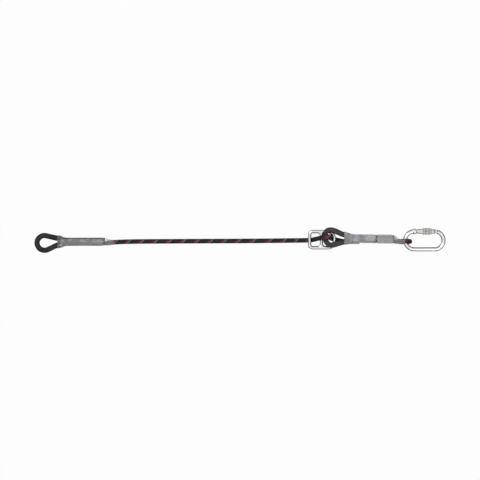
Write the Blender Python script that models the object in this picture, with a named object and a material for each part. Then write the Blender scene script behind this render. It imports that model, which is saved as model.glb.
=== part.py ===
"""Adjustable rope lanyard, lying straight on a table.

A sewn eye, the rope, a three-bar adjuster, a short sewn lanyard and a carabiner. Metres, +Z up.
X runs along the rope from the sewn eye to the carabiner. The table is Z = 0.
"""

import math

import bmesh
import bpy
from mathutils import Matrix, Vector

MM = 0.001
GAP = 0.3 * MM

# Rope and the soft pieces around it
ROPE_R = 6.0 * MM
PRESSED = 0.78
STRANDS_APART = 4.9 * MM
COVER_WALL = 0.6 * MM
FILM = 0.4 * MM
LABEL_THICK = 0.25 * MM
THREAD_R = 0.4 * MM
COVER_R = ROPE_R + GAP + COVER_WALL
PACKING = GAP + LABEL_THICK + GAP + FILM
SQUARENESS = 0.55
MOUTH_SLACK = 0.7 * MM
TUBE_RES = 3
EYE_RES = 4
BODY_RES = 4

# Left eye, measured to the middle of the rope
EYE_X = -500.1 * MM
EYE_Y = -5.5 * MM
EYE_BEND = 18.8 * MM
EYE_Z = COVER_R
LEFT_SLEEVE_FROM = -466.4 * MM
# Middle of the rope between the bend and the sleeve, x and y
EYE_UPPER = [(-475.8 * MM, 8.3 * MM), (-485.0 * MM, 10.4 * MM)]
EYE_LOWER = [(-488.6 * MM, -21.3 * MM), (-478.2 * MM, -16.2 * MM)]
LEFT_SLEEVE_TO = -320.8 * MM
LEFT_COVER_END = -455.0 * MM
LEFT_SLEEVE_Z = COVER_R + PACKING
LEFT_TAIL_END = -345.5 * MM
LEFT_SEAM_Y = -2.0 * MM

# Along the left sewn strands: x, seam y, half the strands' distance, thickness share
LEFT_LABEL_FROM = -456.0 * MM
LEFT_SEAM_FROM = -436.0 * MM
LEFT_LABEL_TO = -352.0 * MM
LEFT_SEWN = [
    (LEFT_SLEEVE_FROM, -2.4 * MM, 8.7 * MM, 1.0),
    (LEFT_LABEL_FROM, -2.2 * MM, 7.1 * MM, 0.92),
    (-446.0 * MM, LEFT_SEAM_Y, 5.1 * MM, 0.8),
    (LEFT_SEAM_FROM, LEFT_SEAM_Y, STRANDS_APART, PRESSED),
    (-394.0 * MM, LEFT_SEAM_Y, STRANDS_APART, PRESSED),
    (LEFT_LABEL_TO, LEFT_SEAM_Y, STRANDS_APART, PRESSED),
]
# Where the sleeve narrows on to the single rope: x, middle y, half width
LEFT_TAPER = [
    (-343.0 * MM, -2.6 * MM, 10.4 * MM),
    (-334.0 * MM, -4.6 * MM, 8.4 * MM),
    (LEFT_SLEEVE_TO, -4.2 * MM, ROPE_R + PACKING),
]

# Adjuster ring
RING_ROD_R = 4.25 * MM
RING_BAR_R = 3.9 * MM
RING_LEFT = 173.1 * MM
RING_RIGHT = 244.3 * MM
RING_Y = 2.65 * MM
RING_WIDE = 49.5 * MM
RING_BAR_X = 207.6 * MM
RING_LEFT_CORNER = 7.75 * MM
RING_RIGHT_CORNER = 16.0 * MM
RING_Z = 2 * ROPE_R + GAP + RING_ROD_R
BAR_FLARE_R = 4.1 * MM
BAR_FLARE_FROM = 4.2 * MM
BAR_FLARE_TO = 7.5 * MM
WEB_HALF = 2.2 * MM
WEB_CORNER = 6.5 * MM
WEB_FROM_BAR = 3.3 * MM
WEB_FROM_ROD = 3.7 * MM

# Middle of the rope through the ring, in mm: under the left bar, over the crossbar and the eye's bight,
# down through the eye, under the right bar and along the table
WEAVE = [
    (166.0, 1.0, 6.0),
    (171.5, 1.1, 6.0),
    (177.5, 1.4, 6.05),
    (182.5, 2.0, 7.7),
    (187.5, 2.9, 12.2),
    (194.0, 4.4, 19.8),
    (200.2, 6.0, 27.6),
    (206.1, 7.6, 34.4),
    (210.8, 8.9, 38.1),
    (216.6, 10.2, 39.4),
    (222.4, 10.8, 38.0),
    (227.2, 10.6, 34.0),
    (229.6, 10.0, 29.0),
    (230.1, 9.2, 24.0),
    (229.6, 8.3, 19.0),
    (229.9, 7.2, 14.0),
    (232.2, 6.0, 9.6),
    (236.2, 4.8, 6.9),
    (241.0, 3.7, 6.0),
    (247.0, 2.2, 6.0),
    (255.0, 0.2, 6.0),
    (264.0, -1.4, 6.3),
    (275.0, -2.0, 6.9),
    (290.0, -2.0, 6.9),
    (304.0, -2.0, 6.9),
]

# Middle of the free stretch: the rope lies on the floor once it has left the left sleeve
MAIN_STEP = 18.0 * MM
MAIN_ROUTE = [
    (LEFT_SLEEVE_TO + 2.3 * MM, -3.78 * MM, 7.7 * MM),
    (-306.0 * MM, -3.0 * MM, 6.6 * MM),
    (-285.0 * MM, -2.4 * MM, ROPE_R),
    (-250.0 * MM, -1.8 * MM, ROPE_R),
    (-180.0 * MM, -1.4 * MM, ROPE_R),
    (-100.0 * MM, -1.0 * MM, ROPE_R),
    (-20.0 * MM, -0.7 * MM, ROPE_R),
    (60.0 * MM, -0.2 * MM, ROPE_R),
    (120.0 * MM, 0.5 * MM, ROPE_R),
    (165.7 * MM, 1.0 * MM, ROPE_R),
]

# End of the rope behind the short lanyard
TAIL_Y = -2.0 * MM
TAIL_Z = 6.9 * MM
CAP_FROM = 281.0 * MM
CAP_TO = 306.3 * MM
CAP_ROUND = 1.5 * MM
CAP_HOLE_R = 1.2 * MM
CAP_FLOOR = 1.7 * MM

# Carabiner, in its own frame: origin on the rod's middle where the rope loop holds it
ROD_R = 5.25 * MM
OVAL_LONG = 110.0 * MM
OVAL_WIDE = 56.2 * MM
HOOK_X = 421.2 * MM
HOOK_Y = -2.0 * MM
OVAL_Y = 3.0 * MM
LOOP_ROPE_R = 6.0 * MM
LOOP_LEAN = 1.2 * MM
LOOP_CLEARANCE = 0.8 * MM
LOOP_BEND = ROD_R + LOOP_CLEARANCE + LOOP_ROPE_R
HOOK_Z = LOOP_BEND + LOOP_ROPE_R
NOSE_FACE = 27.0 * MM
COLLAR_R = 7.5 * MM
COLLAR_LONG = 6.5 * MM
GATE_R = 6.35 * MM
RIVET_BACK = 2.25 * MM
RIVET_X = OVAL_LONG - OVAL_WIDE / 2 - ROD_R - RIVET_BACK
RIVET_R = 2.2 * MM
TONGUE_THICK = 4.4 * MM
SLOT_CLEARANCE = 0.35 * MM
SLEEVE_R = 9.0 * MM
SLEEVE_BACK = 29.0 * MM
SLEEVE_FROM = RIVET_X - SLEEVE_BACK
SLEEVE_LONG = 21.8 * MM
SLEEVE_CLEARANCE = 0.3 * MM
SLEEVE_FLUTES = 16
FLUTE_R = 1.0 * MM
GATE_GAP = 0.8 * MM
HOOK_UNDER = 1.4 * MM
HOOK_LONG = 6.4 * MM
CATCH_FROM = 5.0 * MM
LATCH_PIN_X = 3.5 * MM
LATCH_PIN_DOWN = 3.0 * MM
LATCH_PIN_R = 1.0 * MM
TONGUE_REACH = 3.4 * MM
SLOT_DEEP = 5.7 * MM
BORE_R = 2.75 * MM
BORE_FROM = 29.0 * MM
PLUNGER_R = 2.4 * MM
PLUNGER_LONG = 5.0 * MM
PLUNGER_STEM = 3.0 * MM
SPRING_WIRE_R = 0.4 * MM
SPRING_R = 2.0 * MM
SPRING_TURNS = 9
SPRING_STEPS = 8
RIVET_HEAD = 0.9 * MM
RIVET_HEAD_R = 3.1 * MM

# Short lanyard
RIGHT_SLEEVE_FROM = 264.9 * MM
RIGHT_COVER_END = 274.0 * MM
RIGHT_LABEL_FROM = 282.0 * MM
RIGHT_SEAM_FROM = 290.0 * MM
RIGHT_SEAM_TO = 328.0 * MM
RIGHT_LABEL_TO = 345.0 * MM
RIGHT_CUT_END = HOOK_X - 28.2 * MM
RIGHT_STACK = 5.1 * MM
# Middle of the rope round the eye, from the upper strand over the bight to the lower strand, in mm
RIGHT_EYE = [
    (259.3, 17.0, 27.4),
    (250.7, 21.0, 28.4),
    (241.8, 24.9, 28.7),
    (233.5, 27.2, 28.7),
    (225.0, 26.8, 28.6),
    (219.2, 22.6, 27.9),
    (216.9, 16.6, 26.4),
    (216.6, 10.0, 25.5),
    (217.3, 3.4, 26.4),
    (220.6, -4.0, 28.0),
    (226.0, -9.6, 28.7),
    (233.5, -11.4, 28.7),
    (242.2, -9.4, 28.7),
    (251.5, -6.6, 28.4),
    (259.3, -4.4, 27.4),
]
# Along the sewn strands: x, seam y, z, half the rows' distance, thickness share, half the stack's height
RIGHT_SEWN = [
    (RIGHT_SLEEVE_FROM, 6.4 * MM, 26.5 * MM, 9.2 * MM, 1.0, 0.0),
    (274.0 * MM, 5.9 * MM, 25.3 * MM, 7.2 * MM, 0.94, 0.0),
    (RIGHT_LABEL_FROM, 5.5 * MM, 24.2 * MM, 5.4 * MM, 0.84, 0.0),
    (RIGHT_SEAM_FROM, 5.2 * MM, 23.3 * MM, STRANDS_APART, PRESSED, 0.0),
    (308.0 * MM, 5.0 * MM, 21.7 * MM, STRANDS_APART, PRESSED, 0.0),
    (RIGHT_SEAM_TO, 4.8 * MM, 20.2 * MM, STRANDS_APART, PRESSED, 0.6 * MM),
    (RIGHT_LABEL_TO, 4.6 * MM, 18.6 * MM, STRANDS_APART, PRESSED, 3.0 * MM),
    (362.0 * MM, 4.4 * MM, 17.4 * MM, STRANDS_APART, PRESSED, RIGHT_STACK),
    (RIGHT_CUT_END - 3.0 * MM, 3.9 * MM, HOOK_Z, STRANDS_APART, PRESSED, RIGHT_STACK),
]
# Where only the stacked pair is left in the sleeve: x, middle y, half width, half height
RIGHT_NARROW = [
    (HOOK_X - 24.7 * MM, 2.8 * MM, 10.6 * MM, 12.4 * MM),
    (HOOK_X - 21.2 * MM, -1.0 * MM, 7.9 * MM, 13.5 * MM),
    (HOOK_X - 15.2 * MM, HOOK_Y, 7.4 * MM, 15.4 * MM),
    (HOOK_X - 8.2 * MM, HOOK_Y, 7.8 * MM, 17.9 * MM),
    (HOOK_X - 1.7 * MM, HOOK_Y, 8.2 * MM, 19.1 * MM),
]
# Past this the sleeve is only a lip over the loop's upper leg, from this height above the loop's middle
LIP_FROM = HOOK_X - 8.2 * MM
LIP_LOW = 10.5 * MM
# From the sewn pair to the loop: x, half the pair's distance, thickness share, lean
LOOP_LEGS = [
    (HOOK_X - 23.2 * MM, 6.2 * MM, 0.82, 0.0),
    (HOOK_X - 15.2 * MM, 8.6 * MM, 0.88, 0.4 * MM),
    (HOOK_X - 7.7 * MM, 11.0 * MM, LOOP_ROPE_R / ROPE_R, 0.8 * MM),
]
LOOP_WRAP = 94.0
COVER_IN_SLEEVE = 3.0 * MM


def clear_scene():
    for old in list(bpy.data.objects):
        bpy.data.objects.remove(old, do_unlink=True)


def make_material(name, color, metallic, roughness):
    made = bpy.data.materials.new(name)
    made.use_nodes = True
    shader = made.node_tree.nodes["Principled BSDF"]
    shader.inputs["Base Color"].default_value = (*color, 1.0)
    shader.inputs["Metallic"].default_value = metallic
    shader.inputs["Roughness"].default_value = roughness
    return made


def add_object(name, data, material, parent=None):
    made = bpy.data.objects.new(name, data)
    if material:
        made.data.materials.append(material)
    bpy.context.scene.collection.objects.link(made)
    made.parent = parent
    return made


def add_empty(name, location, rotation=(0.0, 0.0, 0.0), parent=None):
    made = bpy.data.objects.new(name, None)
    bpy.context.scene.collection.objects.link(made)
    made.location = location
    made.rotation_euler = rotation
    made.parent = parent
    return made


def finish_mesh(build, name):
    bmesh.ops.recalc_face_normals(build, faces=build.faces)
    mesh = bpy.data.meshes.new(name)
    build.to_mesh(mesh)
    build.free()
    mesh.shade_smooth()
    mesh.set_sharp_from_angle(angle=math.radians(40))
    return mesh


def smooth_path(route, step):
    """Points every step along a Catmull-Rom curve. A route's fourth number is the thickness share."""
    knots = [Vector((*p[:3], p[3] if len(p) > 3 else 1.0)) for p in route]
    knots = [2 * knots[0] - knots[1]] + knots + [2 * knots[-1] - knots[-2]]
    fine = []
    for a, b, c, d in zip(knots, knots[1:], knots[2:], knots[3:]):
        pieces = max(4, int((c - b).xyz.length / (0.5 * MM)))
        for k in range(pieces):
            t = k / pieces
            bend = (2 * a - 5 * b + 4 * c - d) * t * t + (3 * b - a - 3 * c + d) * t**3
            fine.append(0.5 * (2 * b + (c - a) * t + bend))
    fine.append(knots[-2])
    long = [0.0]
    for p, q in zip(fine, fine[1:]):
        long.append(long[-1] + (q - p).xyz.length)
    count = max(2, round(long[-1] / step))
    made = []
    k = 0
    for n in range(count + 1):
        goal = long[-1] * n / count
        while k < len(fine) - 2 and long[k + 1] < goal:
            k += 1
        share = (goal - long[k]) / max(long[k + 1] - long[k], 1e-9)
        made.append(fine[k].lerp(fine[k + 1], share))
    return made


def tube_curve(name, path, radius, filled=True, resolution=TUBE_RES, closed=False, turn=0.0):
    """A round tube on a POLY spline. A point's fourth number scales the radius, turn is in sides."""
    curve = bpy.data.curves.new(name, "CURVE")
    curve.dimensions = "3D"
    curve.twist_mode = "MINIMUM"
    curve.bevel_depth = radius
    curve.bevel_resolution = resolution
    curve.use_fill_caps = filled
    spline = curve.splines.new("POLY")
    spline.points.add(len(path) - 1)
    tilt = turn * 2 * math.pi / (4 + 2 * resolution)
    for point, place in zip(spline.points, path):
        point.co = (*place[:3], 1.0)
        point.radius = place[3] if len(place) > 3 else 1.0
        point.tilt = tilt
    spline.use_cyclic_u = closed
    return curve


def mesh_of_curve(curve, name, keep=None):
    """The curve's surface as a plain mesh; keep is the first and last ring to leave in, or None for all."""
    holder = bpy.data.objects.new(name + "_guide", curve)
    bpy.context.scene.collection.objects.link(holder)
    bpy.context.view_layer.update()
    graph = bpy.context.evaluated_depsgraph_get()
    mesh = bpy.data.meshes.new_from_object(holder.evaluated_get(graph))
    bpy.data.objects.remove(holder)
    build = bmesh.new()
    build.from_mesh(mesh)
    if keep:
        sides = 4 + 2 * curve.bevel_resolution
        build.verts.ensure_lookup_table()
        spare = [v for v in build.verts if not keep[0] <= v.index // sides <= keep[1]]
        bmesh.ops.delete(build, geom=spare, context="VERTS")
    bmesh.ops.remove_doubles(build, verts=build.verts, dist=1e-6)
    return finish_mesh(build, name)


def covering(name, path, reach, material, resolution=TUBE_RES, turn=0.0):
    """A thin open-ended tube one gap away from the rope, along the part of its path left of reach."""
    inside = [k for k, p in enumerate(path) if p.x < reach]
    sleeve = tube_curve(name, path, ROPE_R + GAP, False, resolution, turn=turn)
    made = add_object(name, mesh_of_curve(sleeve, name, (inside[0], inside[-1])), material)
    wall = made.modifiers.new("Wall", "SOLIDIFY")
    wall.thickness = COVER_WALL
    wall.offset = 1.0
    wall.use_even_offset = True
    return made


def superellipse(half_y, half_z, sides, squareness, start=0.0, stop=2 * math.pi):
    """Points (y, z) round a flattened oval with a flat side below, or along a part of it."""
    whole = abs(stop - start - 2 * math.pi) < 1e-6
    steps = sides if whole else sides - 1
    shift = 0.5 if whole else 0.0
    points = []
    for k in range(sides):
        angle = start + (stop - start) * (k + shift) / steps
        c, s = math.cos(angle), math.sin(angle)
        y = half_y * math.copysign(abs(c) ** squareness, c)
        z = half_z * math.copysign(abs(s) ** squareness, s)
        points.append((y, z))
    return points


def film_sleeve(name, sections, wall, material, sides=20, parent=None):
    """An open-ended oval sleeve along X. A section is x, y, z, half width and half height outside."""
    build = bmesh.new()
    rings = []
    for x, y, z, half_y, half_z in sections:
        pair = []
        for shrink in (0.0, wall):
            oval = superellipse(half_y - shrink, half_z - shrink, sides, SQUARENESS)
            pair.append([build.verts.new((x, y + p, z + q)) for p, q in oval])
        rings.append(pair)
    for k in range(sides):
        n = (k + 1) % sides
        for (outer_a, inner_a), (outer_b, inner_b) in zip(rings, rings[1:]):
            build.faces.new((outer_a[k], outer_a[n], outer_b[n], outer_b[k]))
            build.faces.new((inner_a[n], inner_a[k], inner_b[k], inner_b[n]))
        for outer, inner in (rings[0], rings[-1]):
            build.faces.new((outer[k], outer[n], inner[n], inner[k]))
    return add_object(name, finish_mesh(build, name), material, parent)


def film_label(name, sections, thick, material, arc, sides=12, parent=None):
    """A sheet that lies on the upper side of the same kind of sections, from one angle to another."""
    build = bmesh.new()
    rings = []
    for x, y, z, half_y, half_z in sections:
        pair = []
        for shrink in (0.0, thick):
            line = superellipse(half_y - shrink, half_z - shrink, sides, SQUARENESS, *arc)
            pair.append([build.verts.new((x, y + p, z + q)) for p, q in line])
        rings.append(pair[0] + pair[1][::-1])
    for first, second in zip(rings, rings[1:]):
        for k in range(len(first)):
            n = (k + 1) % len(first)
            build.faces.new((first[k], first[n], second[n], second[k]))
    build.faces.new(rings[0])
    build.faces.new(rings[-1])
    return add_object(name, finish_mesh(build, name), material, parent)


def zigzag(name, first, last, reach, stitches, material):
    """One sewing thread that crosses a seam from the point first to last; reach is half a crossing."""
    path = []
    for k in range(stitches + 1):
        place = Vector(first).lerp(Vector(last), k / stitches)
        place += Vector(reach) * (1 if k % 2 else -1)
        path.append(Vector((*place, 1.0)))
    return add_object(name, tube_curve(name, path, THREAD_R, resolution=1), material)


def turned(name, profile, material, sides=20, parent=None, bore=None):
    """A solid turned about X from (x, radius) pairs; bore is a second list for the inside, or None."""
    build = bmesh.new()

    def ring(x, radius):
        points = []
        for k in range(sides):
            angle = 2 * math.pi * k / sides
            points.append(build.verts.new((x, radius * math.cos(angle), radius * math.sin(angle))))
        return points

    outline = list(profile) + (list(bore)[::-1] if bore else [])
    rings = [ring(x, radius) for x, radius in outline]
    pairs = list(zip(rings, rings[1:]))
    if bore:
        pairs.append((rings[-1], rings[0]))
    for first, second in pairs:
        for k in range(sides):
            n = (k + 1) % sides
            build.faces.new((first[k], first[n], second[n], second[k]))
    if not bore:
        build.faces.new(rings[0])
        build.faces.new(rings[-1])
    return add_object(name, finish_mesh(build, name), material, parent)


def slab(name, outline, half, parent=None, material=None):
    """A flat outline (x, y) made half thick both ways along Z."""
    build = bmesh.new()
    floor = build.faces.new([build.verts.new((x, y, -half)) for x, y in outline])
    made = bmesh.ops.extrude_face_region(build, geom=[floor])
    raised = [v for v in made["geom"] if isinstance(v, bmesh.types.BMVert)]
    bmesh.ops.translate(build, verts=raised, vec=(0, 0, 2 * half))
    return add_object(name, finish_mesh(build, name), material, parent)


def post(name, center, radius, low, high, parent=None, material=None, sides=16):
    """A cylinder along Z."""
    build = bmesh.new()
    place = Matrix.Translation((center[0], center[1], (low + high) / 2))
    bmesh.ops.create_cone(
        build, cap_ends=True, segments=sides, radius1=radius, radius2=radius, depth=high - low, matrix=place
    )
    return add_object(name, finish_mesh(build, name), material, parent)


def boolean(target, other, operation):
    other.hide_render = True
    other.display_type = "WIRE"
    made = target.modifiers.new(other.name, "BOOLEAN")
    made.operation = operation
    made.object = other
    return made


def arc(center, radius, start, stop, count):
    """Points (a, b) on an arc, angles in degrees, both ends counted."""
    made = []
    for k in range(count):
        angle = math.radians(start + (stop - start) * k / (count - 1))
        made.append((center[0] + radius * math.cos(angle), center[1] + radius * math.sin(angle)))
    return made


def strand_radius(x, share, cover_end, side):
    """The rope's radius at x, with its webbing cover where that reaches."""
    covered = (x - cover_end) * side > 0
    return share * ROPE_R + (GAP + COVER_WALL if covered else 0.0)


def left_sleeve_sections(out=0.0):
    """The shrink sleeve's outside, or that of something out metres larger."""
    made = []
    for x, y, apart, share in LEFT_SEWN:
        radius = strand_radius(x, share, LEFT_COVER_END + COVER_IN_SLEEVE, -1)
        half_z = min(radius + GAP + 2 * THREAD_R + PACKING, LEFT_SLEEVE_Z)
        slack = MOUTH_SLACK if x == LEFT_SLEEVE_FROM else 0.0
        made.append((x, y, LEFT_SLEEVE_Z, apart + radius + PACKING + slack + out, half_z + out))
    radius = ROPE_R + PACKING
    for x, y, half_y in LEFT_TAPER:
        made.append((x, y, LEFT_SLEEVE_Z, half_y + out, radius + out))
    return made


def left_end(rope, webbing, film, paper, thread):
    """The rope's sewn eye, its cover, stitching, label and shrink sleeve."""
    low = LEFT_SLEEVE_Z
    route = [(LEFT_TAIL_END, LEFT_SEAM_Y + STRANDS_APART, low, PRESSED)]
    route += [(x, y + apart, low, share) for x, y, apart, share in reversed(LEFT_SEWN)]
    bend = EYE_UPPER + arc((EYE_X, EYE_Y), EYE_BEND, 74, 286, 13) + EYE_LOWER
    route += [(x, y, EYE_Z, 1.0) for x, y in bend]
    route += [(x, y - apart, low, share) for x, y, apart, share in LEFT_SEWN]
    route += [
        (LEFT_TAPER[0][0], LEFT_SEAM_Y - 4.2 * MM, low, 0.85),
        (LEFT_TAPER[1][0], LEFT_TAPER[1][1], low, 0.97),
        (LEFT_SLEEVE_TO + 2 * MM, LEFT_TAPER[2][1] + 0.4 * MM, low - 0.4 * MM, 1.0),
    ]
    path = smooth_path(route, 4.4 * MM)
    curve = tube_curve("left_eye_rope", path, ROPE_R, True, EYE_RES, turn=0.5)
    add_object("left_eye_rope", curve, rope)
    covering("left_eye_cover", path, LEFT_COVER_END, webbing, EYE_RES, 0.5)
    film_sleeve("left_shrink_sleeve", left_sleeve_sections(), FILM, film)
    inside = left_sleeve_sections(-FILM - GAP)
    inside = [row for row in inside if LEFT_LABEL_FROM <= row[0] <= LEFT_LABEL_TO]
    film_label("left_label", inside, LABEL_THICK, paper, (math.radians(66), math.radians(176)))
    top = LEFT_SLEEVE_Z + PRESSED * ROPE_R + GAP + THREAD_R
    first = (LEFT_SEAM_FROM, LEFT_SEAM_Y, top)
    last = (LEFT_LABEL_TO, LEFT_SEAM_Y, top)
    zigzag("left_stitching", first, last, (0, 3.2 * MM, 0), 24, thread)


def main_rope(rope):
    """The free stretch between the left sleeve and the adjuster."""
    path = smooth_path(MAIN_ROUTE, MAIN_STEP)
    add_object("main_rope", tube_curve("main_rope", path, ROPE_R), rope)


def adjuster(steel, rope, film):
    """The three-bar ring, the rope woven through it, and the end of the rope behind the short lanyard."""
    left = RING_LEFT + RING_ROD_R
    right = RING_RIGHT - RING_ROD_R
    top = RING_Y + RING_WIDE / 2 - RING_ROD_R
    low = RING_Y - RING_WIDE / 2 + RING_ROD_R
    a, b = RING_LEFT_CORNER, RING_RIGHT_CORNER
    outline = arc((left + a, top - a), a, 180, 90, 5)
    outline += [(RING_BAR_X, top)]
    outline += arc((right - b, top - b), b, 90, 0, 8)
    outline += arc((right - b, low + b), b, 0, -90, 8)
    outline += [(RING_BAR_X, low)]
    outline += arc((left + a, low + a), a, -90, -180, 5)
    path = [Vector((x, y, RING_Z, 1.0)) for x, y in outline]
    curve = tube_curve("adjuster_ring", path, RING_ROD_R, resolution=3, closed=True)
    ring = add_object("adjuster_ring", mesh_of_curve(curve, "adjuster_ring"), steel)
    flare = BAR_FLARE_R / RING_BAR_R
    steps = [(0.0, flare), (BAR_FLARE_FROM, flare), (BAR_FLARE_TO, 1.0)]
    bar_path = [Vector((RING_BAR_X, low + y, RING_Z, w)) for y, w in steps]
    bar_path += [Vector((RING_BAR_X, top - y, RING_Z, w)) for y, w in reversed(steps)]
    bar = tube_curve("crossbar", bar_path, RING_BAR_R, resolution=4)
    boolean(ring, add_object("crossbar", mesh_of_curve(bar, "crossbar"), steel), "UNION")
    level = add_empty("ring_level", (0, 0, RING_Z))
    wide = WEB_FROM_BAR + WEB_CORNER
    deep = WEB_FROM_ROD + WEB_CORNER
    web = [(RING_BAR_X - wide, top), (RING_BAR_X + wide, top)]
    web += arc((RING_BAR_X + wide, top - deep), WEB_CORNER, 90, 180, 7)
    web += arc((RING_BAR_X - wide, top - deep), WEB_CORNER, 0, 90, 7)
    boolean(ring, slab("far_web", web, WEB_HALF, level, steel), "UNION")
    web = [(x, 2 * RING_Y - y) for x, y in reversed(web)]
    boolean(ring, slab("near_web", web, WEB_HALF, level, steel), "UNION")

    path = smooth_path([(x * MM, y * MM, z * MM) for x, y, z in WEAVE], 3.0 * MM)
    add_object("adjuster_rope", tube_curve("adjuster_rope", path, ROPE_R), rope)
    outside = [(CAP_FROM, COVER_R), (CAP_TO - CAP_FLOOR, COVER_R)]
    outside += [(CAP_TO - 0.1 * MM, COVER_R - CAP_ROUND), (CAP_TO, CAP_HOLE_R)]
    inner = ROPE_R + GAP
    inside = [(CAP_FROM, inner), (CAP_TO - CAP_FLOOR - 0.4 * MM, inner), (CAP_TO - CAP_FLOOR, CAP_HOLE_R)]
    holder = add_empty("tail_axis", (0, TAIL_Y, TAIL_Z))
    turned("tail_end_cap", outside, film, 16, holder, inside)


def right_sleeve_sections(out=0.0):
    """The short lanyard's shrink sleeve: wide at the eye, high and narrow at the carabiner's loop."""
    made = []
    for x, y, z, apart, share, stack in RIGHT_SEWN:
        radius = strand_radius(x, share, RIGHT_COVER_END - COVER_IN_SLEEVE, 1)
        half_z = max(radius + GAP + 2 * THREAD_R, stack + radius) + PACKING
        slack = MOUTH_SLACK if x == RIGHT_SLEEVE_FROM else 0.0
        made.append((x, y, z, apart + radius + PACKING + slack + out, half_z + out))
    for x, y, half_y, half_z in RIGHT_NARROW:
        made.append((x, y, HOOK_Z, half_y + out, half_z + out))
    return made


def short_lanyard(rope, webbing, film, paper, thread):
    """One rope: cut end, eye over the ring, sewn strands, carabiner loop and the tail in the sleeve."""
    sewn = RIGHT_SEWN
    route = [(RIGHT_CUT_END, sewn[-1][1] + STRANDS_APART, HOOK_Z, PRESSED)]
    route += [(x, y + apart, z, share) for x, y, z, apart, share, stack in reversed(sewn)]
    route += [(x * MM, y * MM, z * MM, 1.0) for x, y, z in RIGHT_EYE]
    route += [(x, y - apart, z - stack, share) for x, y, z, apart, share, stack in sewn]
    loop = [(x, HOOK_Y - lean, HOOK_Z - apart, share) for x, apart, share, lean in LOOP_LEGS]
    route += loop
    for x, z in arc((HOOK_X, HOOK_Z), LOOP_BEND, -LOOP_WRAP, LOOP_WRAP, 13):
        lean = LOOP_LEAN * (z - HOOK_Z) / LOOP_BEND
        route.append((x, HOOK_Y + lean, z, LOOP_ROPE_R / ROPE_R))
    route += [(x, 2 * HOOK_Y - y, 2 * HOOK_Z - z, w) for x, y, z, w in reversed(loop)]
    back = [row for row in sewn if row[5] >= RIGHT_STACK]
    route += [(x, y - apart, z + stack, share) for x, y, z, apart, share, stack in reversed(back)]
    path = smooth_path(route, 3.8 * MM)
    add_object("short_rope", tube_curve("short_rope", path, ROPE_R), rope)
    covering("right_eye_cover", path, RIGHT_COVER_END, webbing)
    sleeve = film_sleeve("right_shrink_sleeve", right_sleeve_sections(), FILM, film, sides=24)
    corners = [(LIP_FROM, -1), (HOOK_X + ROD_R, -1), (HOOK_X + ROD_R, 1), (LIP_FROM, 1)]
    outline = [(x, HOOK_Y + side * COVER_R * 2) for x, side in corners]
    notch = slab("lip_notch", outline, HOOK_Z)
    notch.location.z = LIP_LOW
    boolean(sleeve, notch, "DIFFERENCE")
    over = PRESSED * ROPE_R + GAP + THREAD_R
    low = next(row for row in sewn if row[0] == RIGHT_SEAM_FROM)
    high = next(row for row in sewn if row[0] == RIGHT_SEAM_TO)
    first = (low[0], low[1], low[2] + over)
    last = (high[0], high[1], high[2] + over)
    zigzag("eye_stitching", first, last, (0, 3.2 * MM, 0), 12, thread)
    inside = right_sleeve_sections(-FILM - GAP)
    inside = [row for row in inside if RIGHT_LABEL_FROM <= row[0] <= RIGHT_LABEL_TO]
    film_label("right_label", inside, LABEL_THICK, paper, (math.radians(20), math.radians(150)))


def oval_body(steel, frame, line):
    """The carabiner's bent rod with its nose collar, nose hook and hinge tongue."""
    bend = OVAL_WIDE / 2 - ROD_R
    far = OVAL_LONG - 2 * ROD_R
    outline = [(NOSE_FACE - 2 * MM, OVAL_Y + bend)]
    outline += arc((bend, OVAL_Y), bend, 92, 268, 17)
    outline += arc((far - bend, OVAL_Y), bend, -85, 75, 17)
    path = [Vector((x, y, 0, 1.0)) for x, y in outline]
    curve = tube_curve("carabiner_body", path, ROD_R, resolution=BODY_RES, turn=0.5)
    body = add_object("carabiner_body", mesh_of_curve(curve, "carabiner_body"), steel, frame)
    collar = [
        (NOSE_FACE - COLLAR_LONG, COLLAR_R - 1.6 * MM),
        (NOSE_FACE - COLLAR_LONG + 1.2 * MM, COLLAR_R),
        (NOSE_FACE - 0.6 * MM, COLLAR_R),
        (NOSE_FACE, COLLAR_R - 0.6 * MM),
    ]
    boolean(body, turned("nose_collar", collar, steel, 24, line), "UNION")
    hook = [
        (NOSE_FACE - 2 * MM, -HOOK_UNDER),
        (NOSE_FACE + CATCH_FROM, -HOOK_UNDER),
        (NOSE_FACE + CATCH_FROM, -HOOK_UNDER - 3 * MM),
        (NOSE_FACE + HOOK_LONG, -HOOK_UNDER - 3 * MM),
        (NOSE_FACE + HOOK_LONG, 2.4 * MM),
        (NOSE_FACE + HOOK_LONG - 1.2 * MM, 3.6 * MM),
        (NOSE_FACE - 2 * MM, 3.6 * MM),
    ]
    boolean(body, slab("nose_hook", hook, TONGUE_THICK / 2, line), "UNION")
    tongue = [
        (RIVET_X - TONGUE_REACH, -4.0 * MM),
        (RIVET_X + 9 * MM, -4.4 * MM),
        (RIVET_X + 9 * MM, 3.8 * MM),
        (RIVET_X - 1.5 * MM, 3.8 * MM),
        (RIVET_X - TONGUE_REACH, 2.4 * MM),
    ]
    boolean(body, slab("hinge_tongue", tongue, TONGUE_THICK / 2, line), "UNION")
    hole = post("tongue_hole", (RIVET_X, 0), RIVET_R + GAP, -9 * MM, 9 * MM, line)
    boolean(body, hole, "DIFFERENCE")


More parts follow.
